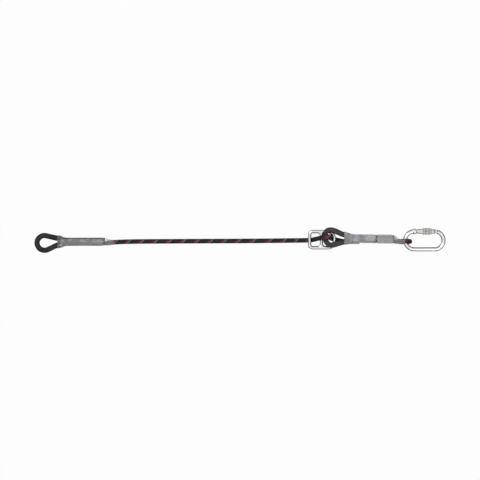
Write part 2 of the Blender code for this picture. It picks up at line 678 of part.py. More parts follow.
def gate_parts(steel, line):
    """The gate with its latch pin, spring and plunger, and the rivet that it turns on."""
    hinge = add_empty("gate_axis", (RIVET_X, 0, 0), parent=line)
    front = NOSE_FACE + GATE_GAP - RIVET_X
    barrel = [
        (front, GATE_R - 0.7 * MM),
        (front + 0.7 * MM, GATE_R),
        (GATE_R + 0.5 * MM, GATE_R),
    ]
    gate = turned("carabiner_gate", barrel, steel, 28, hinge)
    round_end = [(front - 1 * MM, -8 * MM), (0, -8 * MM)]
    round_end += [(x, y) for x, y in arc((0, 0), GATE_R, -90, 90, 13)]
    round_end += [(0, 8 * MM), (front - 1 * MM, 8 * MM)]
    boolean(gate, slab("gate_outline", round_end, 8 * MM, hinge), "INTERSECT")
    slot = TONGUE_THICK / 2 + SLOT_CLEARANCE
    rear = [(-SLOT_DEEP, -9 * MM), (9 * MM, -9 * MM), (9 * MM, 9 * MM), (-SLOT_DEEP, 9 * MM)]
    boolean(gate, slab("rear_slot", rear, slot, hinge), "DIFFERENCE")
    end = NOSE_FACE + HOOK_LONG + 0.8 * MM - RIVET_X
    nose = [(front - 1 * MM, -9 * MM), (end, -9 * MM), (end, 9 * MM), (front - 1 * MM, 9 * MM)]
    boolean(gate, slab("nose_slot", nose, slot, hinge), "DIFFERENCE")
    hole = post("cheek_hole", (0, 0), RIVET_R + GAP, -9 * MM, 9 * MM, hinge)
    boolean(gate, hole, "DIFFERENCE")
    pin_at = (NOSE_FACE + LATCH_PIN_X - RIVET_X, -LATCH_PIN_DOWN)
    hole = post("latch_pin_hole", pin_at, LATCH_PIN_R + GAP, -9 * MM, 9 * MM, hinge, sides=12)
    boolean(gate, hole, "DIFFERENCE")
    post("gate_latch_pin", pin_at, LATCH_PIN_R, -5.2 * MM, 5.2 * MM, hinge, steel, sides=12)
    bore = turned("spring_bore", [(-BORE_FROM, BORE_R), (-SLOT_DEEP + 1 * MM, BORE_R)], None, 16, hinge)
    boolean(gate, bore, "DIFFERENCE")

    face = -TONGUE_REACH - GAP
    back = face - PLUNGER_LONG
    stem = back - PLUNGER_STEM
    plunger = [
        (stem, SPRING_R - SPRING_WIRE_R - GAP),
        (back, SPRING_R - SPRING_WIRE_R - GAP),
        (back + 0.01 * MM, PLUNGER_R),
        (face - 0.5 * MM, PLUNGER_R),
        (face, PLUNGER_R - 0.5 * MM),
    ]
    turned("gate_plunger", plunger, steel, 16, hinge)
    wire = SPRING_WIRE_R
    first = -BORE_FROM + GAP + wire
    last = back - GAP - wire
    coil = []
    for k in range(SPRING_TURNS * SPRING_STEPS + 1):
        angle = 2 * math.pi * k / SPRING_STEPS
        x = first + (last - first) * k / (SPRING_TURNS * SPRING_STEPS)
        coil.append(Vector((x, SPRING_R * math.cos(angle), SPRING_R * math.sin(angle), 1.0)))
    add_object("gate_spring", tube_curve("gate_spring", coil, wire, resolution=1), steel, hinge)

    upright = add_empty("rivet_axis", (RIVET_X, 0, 0), (0, -math.pi / 2, 0), line)
    head_from = GATE_R + GAP
    head = head_from + RIVET_HEAD
    rivet = [
        (-head, RIVET_R - 0.4 * MM),
        (-head + 0.4 * MM, RIVET_HEAD_R),
        (-head_from, RIVET_HEAD_R),
        (-head_from + 0.01 * MM, RIVET_R),
        (head_from - 0.01 * MM, RIVET_R),
        (head_from, RIVET_HEAD_R),
        (head - 0.4 * MM, RIVET_HEAD_R),
        (head, RIVET_R - 0.4 * MM),
    ]
    turned("gate_rivet", rivet, steel, 20, upright)


def screw_sleeve(steel, line):
    """The knurled sleeve: three ridges round a tube that runs along the gate."""
    ridges = []
    step = SLEEVE_LONG / 3
    for k in range(3):
        start = SLEEVE_FROM + k * step
        ridges += [
            (start + 0.3 * MM, SLEEVE_R - 1.5 * MM),
            (start + 1.5 * MM, SLEEVE_R),
            (start + step - 1.5 * MM, SLEEVE_R),
            (start + step - 0.3 * MM, SLEEVE_R - 1.5 * MM),
        ]
    inside = GATE_R + SLEEVE_CLEARANCE
    bore = [(ridges[0][0], inside), (ridges[-1][0], inside)]
    sleeve = turned("screw_sleeve", ridges, steel, SLEEVE_FLUTES * 2, line, bore)
    for k in range(SLEEVE_FLUTES):
        angle = 2 * math.pi * k / SLEEVE_FLUTES
        spot = (SLEEVE_R + 0.3 * MM) * Vector((math.cos(angle), math.sin(angle)))
        flute = [(SLEEVE_FROM - 2 * MM, FLUTE_R), (SLEEVE_FROM + SLEEVE_LONG + 2 * MM, FLUTE_R)]
        cutter = turned(f"flute_{k}", flute, None, 8, line)
        cutter.location = (0, spot.x, spot.y)
        boolean(sleeve, cutter, "DIFFERENCE")


def carabiner(steel):
    far = OVAL_LONG - 2 * ROD_R
    tilt = math.asin((HOOK_Z - ROD_R) / far)
    frame = add_empty("carabiner_axis", (HOOK_X, HOOK_Y, HOOK_Z), (0, tilt, 0))
    line = add_empty("gate_line", (0, OVAL_Y + OVAL_WIDE / 2 - ROD_R, 0), parent=frame)
    oval_body(steel, frame, line)
    gate_parts(steel, line)
    screw_sleeve(steel, line)


def main():
    clear_scene()
    rope = make_material("black_rope", (0.015, 0.016, 0.016), 0.0, 0.85)
    webbing = make_material("black_webbing", (0.05, 0.05, 0.055), 0.0, 0.8)
    film = make_material("clear_film", (0.6, 0.6, 0.62), 0.0, 0.25)
    paper = make_material("grey_label", (0.5, 0.5, 0.52), 0.0, 0.5)
    thread = make_material("white_thread", (0.7, 0.7, 0.68), 0.0, 0.7)
    steel = make_material("bright_steel", (0.7, 0.7, 0.7), 1.0, 0.25)
    left_end(rope, webbing, film, paper, thread)
    main_rope(rope)
    adjuster(steel, rope, film)
    short_lanyard(rope, webbing, film, paper, thread)
    carabiner(steel)


main()
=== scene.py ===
import math

import bmesh
import bpy
from mathutils import Matrix, Vector, noise


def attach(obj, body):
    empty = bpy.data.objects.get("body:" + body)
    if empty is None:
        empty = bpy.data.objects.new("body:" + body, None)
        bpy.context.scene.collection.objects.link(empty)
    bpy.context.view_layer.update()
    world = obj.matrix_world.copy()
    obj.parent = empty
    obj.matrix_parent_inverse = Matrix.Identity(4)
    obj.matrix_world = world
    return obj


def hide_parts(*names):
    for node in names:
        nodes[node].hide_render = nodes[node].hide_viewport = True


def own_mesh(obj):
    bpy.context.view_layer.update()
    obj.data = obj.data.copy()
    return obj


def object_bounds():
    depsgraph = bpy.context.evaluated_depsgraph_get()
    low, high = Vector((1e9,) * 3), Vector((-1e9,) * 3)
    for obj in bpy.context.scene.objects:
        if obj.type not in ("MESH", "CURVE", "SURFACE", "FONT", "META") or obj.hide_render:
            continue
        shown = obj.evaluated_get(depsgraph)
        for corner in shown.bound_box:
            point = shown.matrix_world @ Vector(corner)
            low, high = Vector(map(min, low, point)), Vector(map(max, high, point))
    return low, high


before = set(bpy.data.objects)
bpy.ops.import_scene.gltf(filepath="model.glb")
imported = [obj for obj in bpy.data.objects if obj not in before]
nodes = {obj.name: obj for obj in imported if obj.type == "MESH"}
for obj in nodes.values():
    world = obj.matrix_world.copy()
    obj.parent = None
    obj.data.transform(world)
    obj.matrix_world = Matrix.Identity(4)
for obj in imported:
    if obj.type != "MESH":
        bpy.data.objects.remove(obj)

mm = 0.001
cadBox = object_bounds()
print("frame loaded")


def inMm(rows, shares=0):
    # rows typed in mm; the last columns may be shares, which stay as they are
    return [tuple(v * mm if k < len(row) - shares else v for k, v in enumerate(row)) for row in rows]


def near(x, y, rows):
    # places typed in mm from the point x, y
    return [(x + a, y + b) for a, b in inMm(rows)]


def onlySelect(piece):
    bpy.ops.object.select_all(action="DESELECT")
    piece.select_set(True)
    bpy.context.view_layer.objects.active = piece


def startPiece(name):
    piece = bpy.context.object
    piece.name = name
    piece.data.name = name
    return piece


def applyPlace():
    bpy.ops.object.transform_apply(location=True, rotation=True, scale=True)


def editAll(piece):
    onlySelect(piece)
    bpy.ops.object.mode_set(mode="EDIT")
    bpy.ops.mesh.select_mode(type="VERT")
    bpy.ops.mesh.select_all(action="SELECT")


def editEnd():
    bpy.ops.object.mode_set(mode="OBJECT")


def smoothBy(degrees):
    bpy.ops.object.shade_smooth_by_angle(angle=math.radians(degrees))


def pull(x=0.0, y=0.0, z=0.0):
    bpy.ops.mesh.extrude_region_move(TRANSFORM_OT_translate={"value": (x, y, z)})


def swing(degrees, center, steps):
    # counter-clockwise seen from above
    bpy.ops.mesh.spin(steps=steps, angle=-math.radians(degrees), center=center, axis=(0, 0, 1))


def startCircle(name, sides, radius, place, acrossX=True, filled=True):
    # ready in edit mode, all of it selected
    turn = (0, math.pi / 2, 0) if acrossX else (math.pi / 2, 0, 0)
    bpy.ops.object.select_all(action="DESELECT")
    cap = "NGON" if filled else "NOTHING"
    bpy.ops.mesh.primitive_circle_add(vertices=sides, radius=radius, fill_type=cap,
                                      location=place, rotation=turn)
    piece = startPiece(name)
    applyPlace()
    editAll(piece)
    return piece


def drawRound(rows, y=0.0, z=0.0):
    # draws the selected ring on along X, through rows of x and radius
    for (x0, r0), (x1, r1) in zip(rows, rows[1:]):
        pull(x=x1 - x0)
        bpy.ops.transform.resize(value=(1, r1 / r0, r1 / r0), center_override=(x1, y, z))


def withModifier(piece, kind, **settings):
    onlySelect(piece)
    step = piece.modifiers.new(kind.title(), kind)
    for key, value in settings.items():
        setattr(step, key, value)
    bpy.ops.object.modifier_apply(modifier=step.name)
    return piece


def cutAway(piece, other, operation="DIFFERENCE"):
    withModifier(piece, "BOOLEAN", operation=operation, solver="EXACT", object=other)
    bpy.data.objects.remove(other, do_unlink=True)


def joinSolid(piece, other):
    cutAway(piece, other, "UNION")


def breakEdges(piece, width, degrees):
    withModifier(piece, "BEVEL", width=width, segments=2,
                 limit_method="ANGLE", angle_limit=math.radians(degrees))


def settle(piece, place=None, smooth=None):
    # the place goes into the mesh, and the object stays at the origin
    if place is not None:
        piece.matrix_world = place @ piece.matrix_world
    onlySelect(piece)
    applyPlace()
    editAll(piece)
    bpy.ops.mesh.remove_doubles(threshold=0.000002)
    bpy.ops.mesh.normals_make_consistent(inside=False)
    editEnd()
    if smooth:
        smoothBy(smooth)
    return piece


def block(name, outline, half, rounding=0.0):
    # a flat outline drawn out both ways along Z, with its edges broken
    bpy.ops.object.select_all(action="DESELECT")
    bpy.ops.mesh.primitive_plane_add(size=1.0)
    piece = startPiece(name)
    shape = bmesh.new()
    shape.faces.new([shape.verts.new((x, y, -half)) for x, y in outline])
    shape.to_mesh(piece.data)
    shape.free()
    editAll(piece)
    pull(z=2 * half)
    editEnd()
    settle(piece)
    if rounding:
        breakEdges(piece, rounding, 40)
    return piece


def slab(name, fromX, toX, fromY, toY, half):
    return block(name, [(fromX, fromY), (toX, fromY), (toX, toY), (fromX, toY)], half)


def dress(piece, material, body, node):
    piece.data.materials.clear()
    piece.data.materials.append(material)
    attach(piece, body)
    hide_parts(node)
    return piece


def newMaterial(name):
    material = bpy.data.materials.new(name)
    material.use_nodes = True
    tree = material.node_tree
    return material, tree, tree.nodes["Principled BSDF"]


def put(tree, kind, **settings):
    node = tree.nodes.new("ShaderNode" + kind)
    for key, value in settings.items():
        setattr(node, key, value)
    return node


def feed(socket, value):
    if isinstance(value, bpy.types.NodeSocket):
        socket.id_data.links.new(value, socket)
    elif isinstance(value, tuple) and socket.type == "RGBA":
        socket.default_value = (*value, 1.0)
    else:
        socket.default_value = value


def feedAll(sockets, *values):
    for socket, value in zip(sockets, values):
        feed(socket, value)


def calc(tree, operation, *values):
    node = put(tree, "Math", operation=operation)
    feedAll(node.inputs, *values)
    return node.outputs[0]


def plus(tree, first, second):
    return calc(tree, "ADD", first, second)


def minus(tree, first, second):
    return calc(tree, "SUBTRACT", first, second)


def times(tree, first, second):
    return calc(tree, "MULTIPLY", first, second)


def awayFrom(tree, value, middle):
    return calc(tree, "ABSOLUTE", minus(tree, value, middle))


def arch(tree, value):
    # 0 at each whole number and 1 halfway between two
    return calc(tree, "SINE", times(tree, calc(tree, "FRACT", value), math.pi))


def blendColor(tree, share, first, second, mode="MIX"):
    node = put(tree, "Mix", data_type="RGBA", blend_type=mode)
    feed(node.inputs[0], share)
    feed(node.inputs[6], first)
    feed(node.inputs[7], second)
    return node.outputs[2]


def shaded(tree, color, level):
    return blendColor(tree, 1.0, color, level, "MULTIPLY")


def spread(tree, value, low, high, outLow=0.0, outHigh=1.0):
    node = put(tree, "MapRange")
    feedAll(node.inputs, value, low, high, outLow, outHigh)
    return node.outputs[0]


def cloud(tree, where, scale, detail=3.0, stretch=None):
    if stretch:
        turned = put(tree, "Mapping")
        feed(turned.inputs["Vector"], where)
        turned.inputs["Scale"].default_value = stretch
        where = turned.outputs[0]
    node = put(tree, "TexNoise")
    feed(node.inputs["Vector"], where)
    feed(node.inputs["Scale"], scale)
    feed(node.inputs["Detail"], detail)
    return node.outputs["Fac"]


def facing(tree):
    # 0 where the surface faces the eye, 1 at its outline
    rim = put(tree, "LayerWeight")
    feed(rim.inputs["Blend"], 0.5)
    return rim.outputs["Facing"]


def relief(tree, shader, height, distance, strength):
    node = put(tree, "Bump")
    feed(node.inputs["Strength"], strength)
    feed(node.inputs["Distance"], distance)
    feed(node.inputs["Height"], height)
    feed(shader.inputs["Normal"], node.outputs[0])


def ownSpace(tree):
    return put(tree, "TexCoord").outputs["Object"]


def parts(tree, vector):
    node = put(tree, "SeparateXYZ")
    feed(node.inputs[0], vector)
    return node.outputs


def onSheath(tree):
    # metres along the piece, and turns around it
    return parts(tree, put(tree, "UVMap", uv_map="sheath").outputs[0])[:2]


def mixShaders(tree, share, first, second):
    node = put(tree, "MixShader")
    feedAll(node.inputs, share, first.outputs[0], second.outputs[0])
    return node.outputs[0]


def newGroup(name, ins, outs):
    # every socket is a number, apart from Place
    group = bpy.data.node_groups.new(name, "ShaderNodeTree")
    for labels, side in ((ins, "INPUT"), (outs, "OUTPUT")):
        for label in labels:
            kind = "NodeSocketVector" if label == "Place" else "NodeSocketFloat"
            group.interface.new_socket(label, in_out=side, socket_type=kind)
    return group, group.nodes.new("NodeGroupInput").outputs, group.nodes.new("NodeGroupOutput").inputs


def useGroup(tree, group, **values):
    node = put(tree, "Group", node_tree=group)
    for key, value in values.items():
        feed(node.inputs[key], value)
    return node.outputs


view = {
    "frameWidth": 1.224,
    "distance": 6.0,
    "lookAt": (-0.0003, 0.0019, 0.02),
    "sensor": 36.0,
    "worldTop": (1.15, 1.15, 1.15),
    "worldLevel": (0.07, 0.072, 0.078),
    "worldRise": (0.15, 0.65),
    "worldStrength": 0.8,
    "floorGrey": (0.42, 0.42, 0.42),
    "floorGlow": 0.97,
    # place, size, power
    "lamps": {
        "keyLamp": ((-0.9, 1.3, 1.9), 1.2, 17.0),
        "fillLamp": ((1.4, -1.0, 1.6), 1.4, 8.0),
    },
}


def setCamera():
    x, y, z = view["lookAt"]
    bpy.ops.object.camera_add(location=(x, y, z + view["distance"]), rotation=(0, 0, 0))
    camera = bpy.context.object
    camera.data.sensor_width = view["sensor"]
    camera.data.lens = view["sensor"] * view["distance"] / view["frameWidth"]
    camera.data.clip_end = 100.0
    bpy.context.scene.camera = camera


def setLight():
    world = bpy.data.worlds.new("studio")
    bpy.context.scene.world = world
    world.use_nodes = True
    tree = world.node_tree
    tree.nodes.clear()
    height = parts(tree, put(tree, "TexCoord").outputs["Generated"])[2]
    dome = blendColor(tree, spread(tree, height, *view["worldRise"]), view["worldLevel"], view["worldTop"])
    soft = put(tree, "Background")
    feed(soft.inputs["Color"], dome)
    feed(soft.inputs["Strength"], view["worldStrength"])
    white = put(tree, "Background")
    feed(white.inputs["Color"], (1, 1, 1))
    seen = put(tree, "LightPath").outputs["Is Camera Ray"]
    feed(put(tree, "OutputWorld").inputs[0], mixShaders(tree, seen, soft, white))
    for name, (place, size, power) in view["lamps"].items():
        bpy.ops.object.light_add(type="AREA", location=place)
        lamp = bpy.context.object
        lamp.name = name
        lamp.data.size = size
        lamp.data.energy = power
        lamp.rotation_euler = Vector(place).to_track_quat("Z", "Y").to_euler()


def setFloor():
    bpy.ops.mesh.primitive_plane_add(size=12.0, location=(0, 0, cadBox[0][2] - 0.4 * mm))
    floor = startPiece("studioFloor")
    material, tree, shader = newMaterial("paleFloor")
    feed(shader.inputs["Base Color"], view["floorGrey"])
    feed(shader.inputs["Roughness"], 0.9)
    glow = put(tree, "Emission")
    feed(glow.inputs["Strength"], 1.0)
    path = put(tree, "LightPath").outputs
    direct = calc(tree, "MAXIMUM", path["Is Camera Ray"], path["Is Transmission Ray"])
    direct = calc(tree, "MAXIMUM", direct, path["Is Glossy Ray"])
    mixed = mixShaders(tree, times(tree, direct, view["floorGlow"]), shader, glow)
    feed(tree.nodes["Material Output"].inputs[0], mixed)
    floor.data.materials.append(material)


bpy.context.scene.view_settings.view_transform = "Standard"
setCamera()
setLight()
setFloor()
print("camera, light and floor set")

ropeFacts = {
    "radius": 6.0 * mm,
    "pressed": 0.78,
    "sides": 28,
    "pitch": 35.3 * mm,       # the tracers go round once in this length
    "carriers": 16.0,         # yarns each way round
    "black": (0.006, 0.0065, 0.0065),
    "lighter": (0.016, 0.017, 0.017),
    "red": (0.24, 0.018, 0.045),
    "grey": (0.22, 0.215, 0.225),
    # share of the colour left by the painted shade in the braid's hollows
    "crease": 0.45,
    "roughness": (0.62, 0.8),
    "yarnRelief": 0.45 * mm,
    "gap": 0.3 * mm,
}


def smoothRoute(route, step):
    # a smooth curve through the route's points, with its points a step apart
    knots = [Vector((*p[:3], p[3] if len(p) > 3 else 1.0)) for p in route]
    knots = [2 * knots[0] - knots[1]] + knots + [2 * knots[-1] - knots[-2]]
    fine = []
    for a, b, c, d in zip(knots, knots[1:], knots[2:], knots[3:]):
        pieces = max(4, int((c - b).xyz.length / (0.5 * mm)))
        for k in range(pieces):
            t = k / pieces
            bend = (2 * a - 5 * b + 4 * c - d) * t * t + (3 * b - a - 3 * c + d) * t**3
            fine.append(0.5 * (2 * b + (c - a) * t + bend))
    fine.append(knots[-2])
    long = [0.0]
    for p, q in zip(fine, fine[1:]):
        long.append(long[-1] + (q - p).xyz.length)
    count = max(2, round(long[-1] / step))
    made = []
    k = 0
    for n in range(count + 1):
        goal = long[-1] * n / count
        while k < len(fine) - 2 and long[k + 1] < goal:
            k += 1
        share = (goal - long[k]) / max(long[k + 1] - long[k], 1e-9)
        made.append(fine[k].lerp(fine[k + 1], share))
    return made


def lengthOf(points):
    return sum((q.xyz - p.xyz).length for p, q in zip(points, points[1:]))


def atRow(rows, x):
    for (a, low), (b, high) in zip(rows, rows[1:]):
        if x <= b:
            return low + (high - low) * min(max((x - a) / (b - a), 0.0), 1.0)
    return rows[-1][1]


def frames(points, upright):
    # one cross-section frame for each point, carried along without twist
    made = []
    side = Vector(upright)
    for k, point in enumerate(points):
        before = points[max(k - 1, 0)].xyz
        after = points[min(k + 1, len(points) - 1)].xyz
        ahead = (after - before).normalized()
        side = (side - ahead * side.dot(ahead)).normalized()
        made.append((point.xyz, side.copy(), ahead.cross(side)))
    return made


def tube(name, points, radius, sides, alongFrom=0.0, upright=(0, 1, 0), wall=0.0, shape=None, twist=None):
    # a closed round bar, or with a wall an open-ended pipe; shape(along, turn) moves the skin out,
    # and twist, rows of metres along and turns, winds the sheath's pattern round
    cross = frames(points, upright)
    along = [alongFrom]
    for p, q in zip(points, points[1:]):
        along.append(along[-1] + (q.xyz - p.xyz).length)
    last = len(points) - 1
    verts, faces, marks = [], [], []

    def ring(k, reach):
        middle, side, up = cross[k]
        for n in range(sides):
            turn = n / sides
            out = reach * points[k].w + (shape(along[k], turn) if shape else 0.0)
            angle = 2 * math.pi * turn
            verts.append(middle + out * (math.cos(angle) * side + math.sin(angle) * up))
        return len(verts) - sides

    def bridge(a, b, alongA, alongB, flip=False):
        for n in range(sides):
            m = (n + 1) % sides
            face = (a + n, b + n, b + m, a + m)
            mark = ((alongA, n), (alongB, n), (alongB, n + 1), (alongA, n + 1))
            faces.append(face if flip else face[::-1])
            marks.append(mark if flip else mark[::-1])

    outer = [ring(k, radius) for k in range(last + 1)]
    for k in range(last):
        bridge(outer[k], outer[k + 1], along[k], along[k + 1], True)
    if wall:
        inner = [ring(k, radius - wall) for k in range(last + 1)]
        for k in range(last):
            bridge(inner[k], inner[k + 1], along[k], along[k + 1])
        bridge(outer[0], inner[0], along[0], along[0])
        bridge(outer[-1], inner[-1], along[-1], along[-1], True)
    else:
        for k, flip in ((0, True), (last, False)):
            middle = len(verts)
            verts.append(cross[k][0])
            for n in range(sides):
                here, beside = outer[k] + n, outer[k] + (n + 1) % sides
                faces.append((middle, here, beside) if flip else (middle, beside, here))
                marks.append(((along[k], n),) * 3)
    mesh = bpy.data.meshes.new(name)
    mesh.from_pydata([v[:] for v in verts], [], faces)
    layer = mesh.uv_layers.new(name="sheath")
    spots = [spot for mark in marks for spot in mark]
    for corner, (where, turn) in zip(layer.data, spots):
        corner.uv = (where, turn / sides + (atRow(twist, where) if twist else 0.0))
    piece = bpy.data.objects.new(name, mesh)
    bpy.context.scene.collection.objects.link(piece)
    editAll(piece)
    bpy.ops.mesh.normals_make_consistent(inside=False)
    editEnd()
    smoothBy(50)
    return piece


def braidGroup():
    group, given, result = newGroup("braid", ("Along", "Around", "Pitch", "Carriers"),
                                    ("Height", "Red", "Grey", "Fleck"))
    around, carriers = given["Around"], given["Carriers"]
    lap = calc(group, "DIVIDE", given["Along"], given["Pitch"])
    right = times(group, plus(group, lap, around), carriers)
    left = times(group, minus(group, lap, around), carriers)
    rightYarn = calc(group, "FLOOR", right)
    leftYarn = calc(group, "FLOOR", left)
    odd = calc(group, "FLOORED_MODULO", plus(group, rightYarn, leftYarn), 2.0)
    rightOnTop = minus(group, 1.0, odd)
    rightCrown, leftCrown = arch(group, right), arch(group, left)
    across = plus(group, times(group, rightOnTop, rightCrown), times(group, odd, leftCrown))
    rounded = plus(group, 0.35, times(group, rightCrown, leftCrown))
    # of the yarns that run right, three are red and the next two grey
    place = calc(group, "FLOORED_MODULO", rightYarn, carriers)
    red = times(group, rightOnTop, calc(group, "LESS_THAN", place, 2.5))
    colored = times(group, rightOnTop, calc(group, "LESS_THAN", place, 4.5))
    # a number of its own for each crossing
    mixed = plus(group, times(group, rightYarn, 12.9), times(group, leftYarn, 78.2))
    feed(result["Height"], calc(group, "SQRT", times(group, across, rounded)))
    feed(result["Red"], red)
    feed(result["Grey"], minus(group, colored, red))
    feed(result["Fleck"], calc(group, "FRACT", times(group, calc(group, "SINE", mixed), 43.7)))
    return group


def ropeMaterial():
    facts = ropeFacts
    material, tree, shader = newMaterial("ropeSheath")
    along, around = onSheath(tree)
    braid = useGroup(tree, braidGroup(), Along=along, Around=around,
                     Pitch=facts["pitch"], Carriers=facts["carriers"])
    space = ownSpace(tree)
    tone = times(tree, braid["Fleck"], cloud(tree, space, 90.0, 2.0))
    color = blendColor(tree, tone, facts["black"], facts["lighter"])
    color = blendColor(tree, braid["Red"], color, facts["red"])
    color = blendColor(tree, braid["Grey"], color, facts["grey"])
    # painted shade: the braid's hollows between the yarns are darkened in the colour
    crease = spread(tree, braid["Height"], 0.0, 0.6, facts["crease"], 1.0)
    feed(shader.inputs["Base Color"], shaded(tree, color, crease))
    feed(shader.inputs["Roughness"], spread(tree, braid["Fleck"], 0, 1, *facts["roughness"]))
    feed(shader.inputs["Specular IOR Level"], 0.35)
    hair = times(tree, cloud(tree, space, 2600.0, 2.0), 0.3)
    relief(tree, shader, plus(tree, braid["Height"], hair), facts["yarnRelief"], 0.8)
    return material


ropeSheath = ropeMaterial()

longSide = {
    "sleeveZ": 8.15 * mm,
    "seamY": -2.0 * mm,
    "apart": 4.9 * mm,
    "eyeAt": (-500.1 * mm, -5.5 * mm, 6.9 * mm),
    "eyeBend": 18.8 * mm,
    "eyeUpper": inMm([(-475.8, 8.3), (-485.0, 10.4)]),
    "eyeLower": inMm([(-488.6, -21.3), (-478.2, -16.2)]),
    "tailEnd": -345.5 * mm,
    "coverEnd": -455.0 * mm,
    # x, seam y, half the strands' distance, thickness share
    "sewn": inMm([
        (-466.4, -2.4, 8.7, 1.0), (-456.0, -2.2, 7.1, 0.92), (-446.0, -2.0, 5.1, 0.8),
        (-436.0, -2.0, 4.9, 0.78), (-394.0, -2.0, 4.9, 0.78), (-352.0, -2.0, 4.9, 0.78),
    ], 1),
    # past the tail: x, y, z, thickness share
    "onward": inMm([(-343.0, -6.2, 8.15, 0.85), (-334.0, -4.6, 8.15, 0.97), (-318.8, -3.8, 7.75, 1.0)], 1),
    "mainRoute": inMm([
        (-318.5, -3.78, 7.7), (-306.0, -3.0, 6.6), (-285.0, -2.4, 6.0), (-250.0, -1.8, 6.0),
        (-180.0, -1.4, 6.0), (-100.0, -1.0, 6.0), (-20.0, -0.7, 6.0), (60.0, -0.2, 6.0),
        (120.0, 0.5, 6.0), (165.7, 1.0, 6.0),
    ]),
    "slide": 420.0 * mm,
    # the sheath's own twist: metres along the free stretch, turns
    "twist": [
        (0.0, 0.0), (0.07, 0.05), (0.34, 0.05), (0.39, -0.2), (0.43, -0.26), (0.46, -0.15), (0.488, 0.0),
    ],
}


def arcPoints(center, radius, start, stop, count):
    made = []
    for k in range(count):
        angle = math.radians(start + (stop - start) * k / (count - 1))
        made.append((center[0] + radius * math.cos(angle), center[1] + radius * math.sin(angle)))
    return made


def leftRoute():
    facts = longSide
    z = facts["sleeveZ"]
    eyeX, eyeY, eyeZ = facts["eyeAt"]
    route = [(facts["tailEnd"], facts["seamY"] + facts["apart"], z, ropeFacts["pressed"])]
    route += [(x, y + apart, z, share) for x, y, apart, share in reversed(facts["sewn"])]
    bend = facts["eyeUpper"] + arcPoints((eyeX, eyeY), facts["eyeBend"], 74, 286, 13) + facts["eyeLower"]
    route += [(x, y, eyeZ, 1.0) for x, y in bend]
    route += [(x, y - apart, z, share) for x, y, apart, share in facts["sewn"]]
    return route + facts["onward"]


def ropeTube(name, path, alongFrom, upright, twist, body, node):
    piece = tube(name, path, ropeFacts["radius"], ropeFacts["sides"], alongFrom, upright, twist=twist)
    return dress(piece, ropeSheath, body, node)


mainPath = smoothRoute(longSide["mainRoute"], 3.0 * mm)
leftPath = smoothRoute(leftRoute(), 2.0 * mm)

mainRope = ropeTube("mainRope", mainPath, 0.0, (0, 1, 0), longSide["twist"], "long_side", "main_rope")
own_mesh(mainRope)
ropeTube("leftEyeRope", leftPath, -ropeFacts["gap"] - lengthOf(leftPath), (0, -1, 0), None, "long_side",
         "left_eye_rope")
print("long side's rope laid")

adjusterFacts = {
    # under the left bar, over the crossbar and the bight, down through the eye, under the right bar
    "weave": inMm([
        (166.0, 1.0, 6.0), (171.5, 1.1, 6.0), (177.5, 1.4, 6.05), (182.5, 2.0, 7.7),
        (187.5, 2.9, 12.2), (194.0, 4.4, 19.8), (200.2, 6.0, 27.6), (206.1, 7.6, 34.4),
        (210.8, 8.9, 38.1), (216.6, 10.2, 39.4), (222.4, 10.8, 38.0), (227.2, 10.6, 34.0),
        (229.6, 10.0, 29.0), (230.1, 9.2, 24.0), (229.6, 8.3, 19.0), (229.9, 7.2, 14.0),
        (232.2, 6.0, 9.6), (236.2, 4.8, 6.9), (241.0, 3.7, 6.0), (247.0, 2.2, 6.0),
        (255.0, 0.2, 6.0), (264.0, -1.4, 6.3), (275.0, -2.0, 6.9), (290.0, -2.0, 6.9),
        (304.0, -2.0, 6.9),
    ]),
    # the rope is wound back as it crosses the ring: metres along the weave, turns
    "twist": [(0.0, 0.0), (0.006, 0.0), (0.062, -0.78), (0.2, -0.78)],
    "rod": 4.25 * mm,
    "left": 177.35 * mm,
    "right": 240.05 * mm,
    "top": 23.15 * mm,
    "low": -17.85 * mm,
    "z": 16.55 * mm,
    "barX": 207.6 * mm,
    "leftCorner": 7.75 * mm,
    "rightCorner": 16.0 * mm,
    # half width and half height of the bar, which widens into a web at each end: y, x, z
    "bar": inMm([
        (0.0, 8.6, 4.1), (3.4, 8.6, 4.1), (4.6, 8.2, 4.05), (5.2, 7.05, 4.0), (6.2, 5.75, 3.95),
        (7.4, 4.85, 3.9), (8.8, 4.2, 3.9), (10.6, 3.9, 3.9),
    ]),
    "capFrom": 281.0 * mm,
    "capTo": 306.3 * mm,
    "capSlack": 0.9 * mm,
    "capWall": 0.5 * mm,
}
weavePath = smoothRoute(adjusterFacts["weave"], 1.6 * mm)
weaveFrom = lengthOf(mainPath) + ropeFacts["gap"]
weaveTwist = [(weaveFrom + x, turns) for x, turns in adjusterFacts["twist"]]
ropeTube("adjusterRope", weavePath, weaveFrom, (0, 1, 0), weaveTwist, "adjuster", "adjuster_rope")

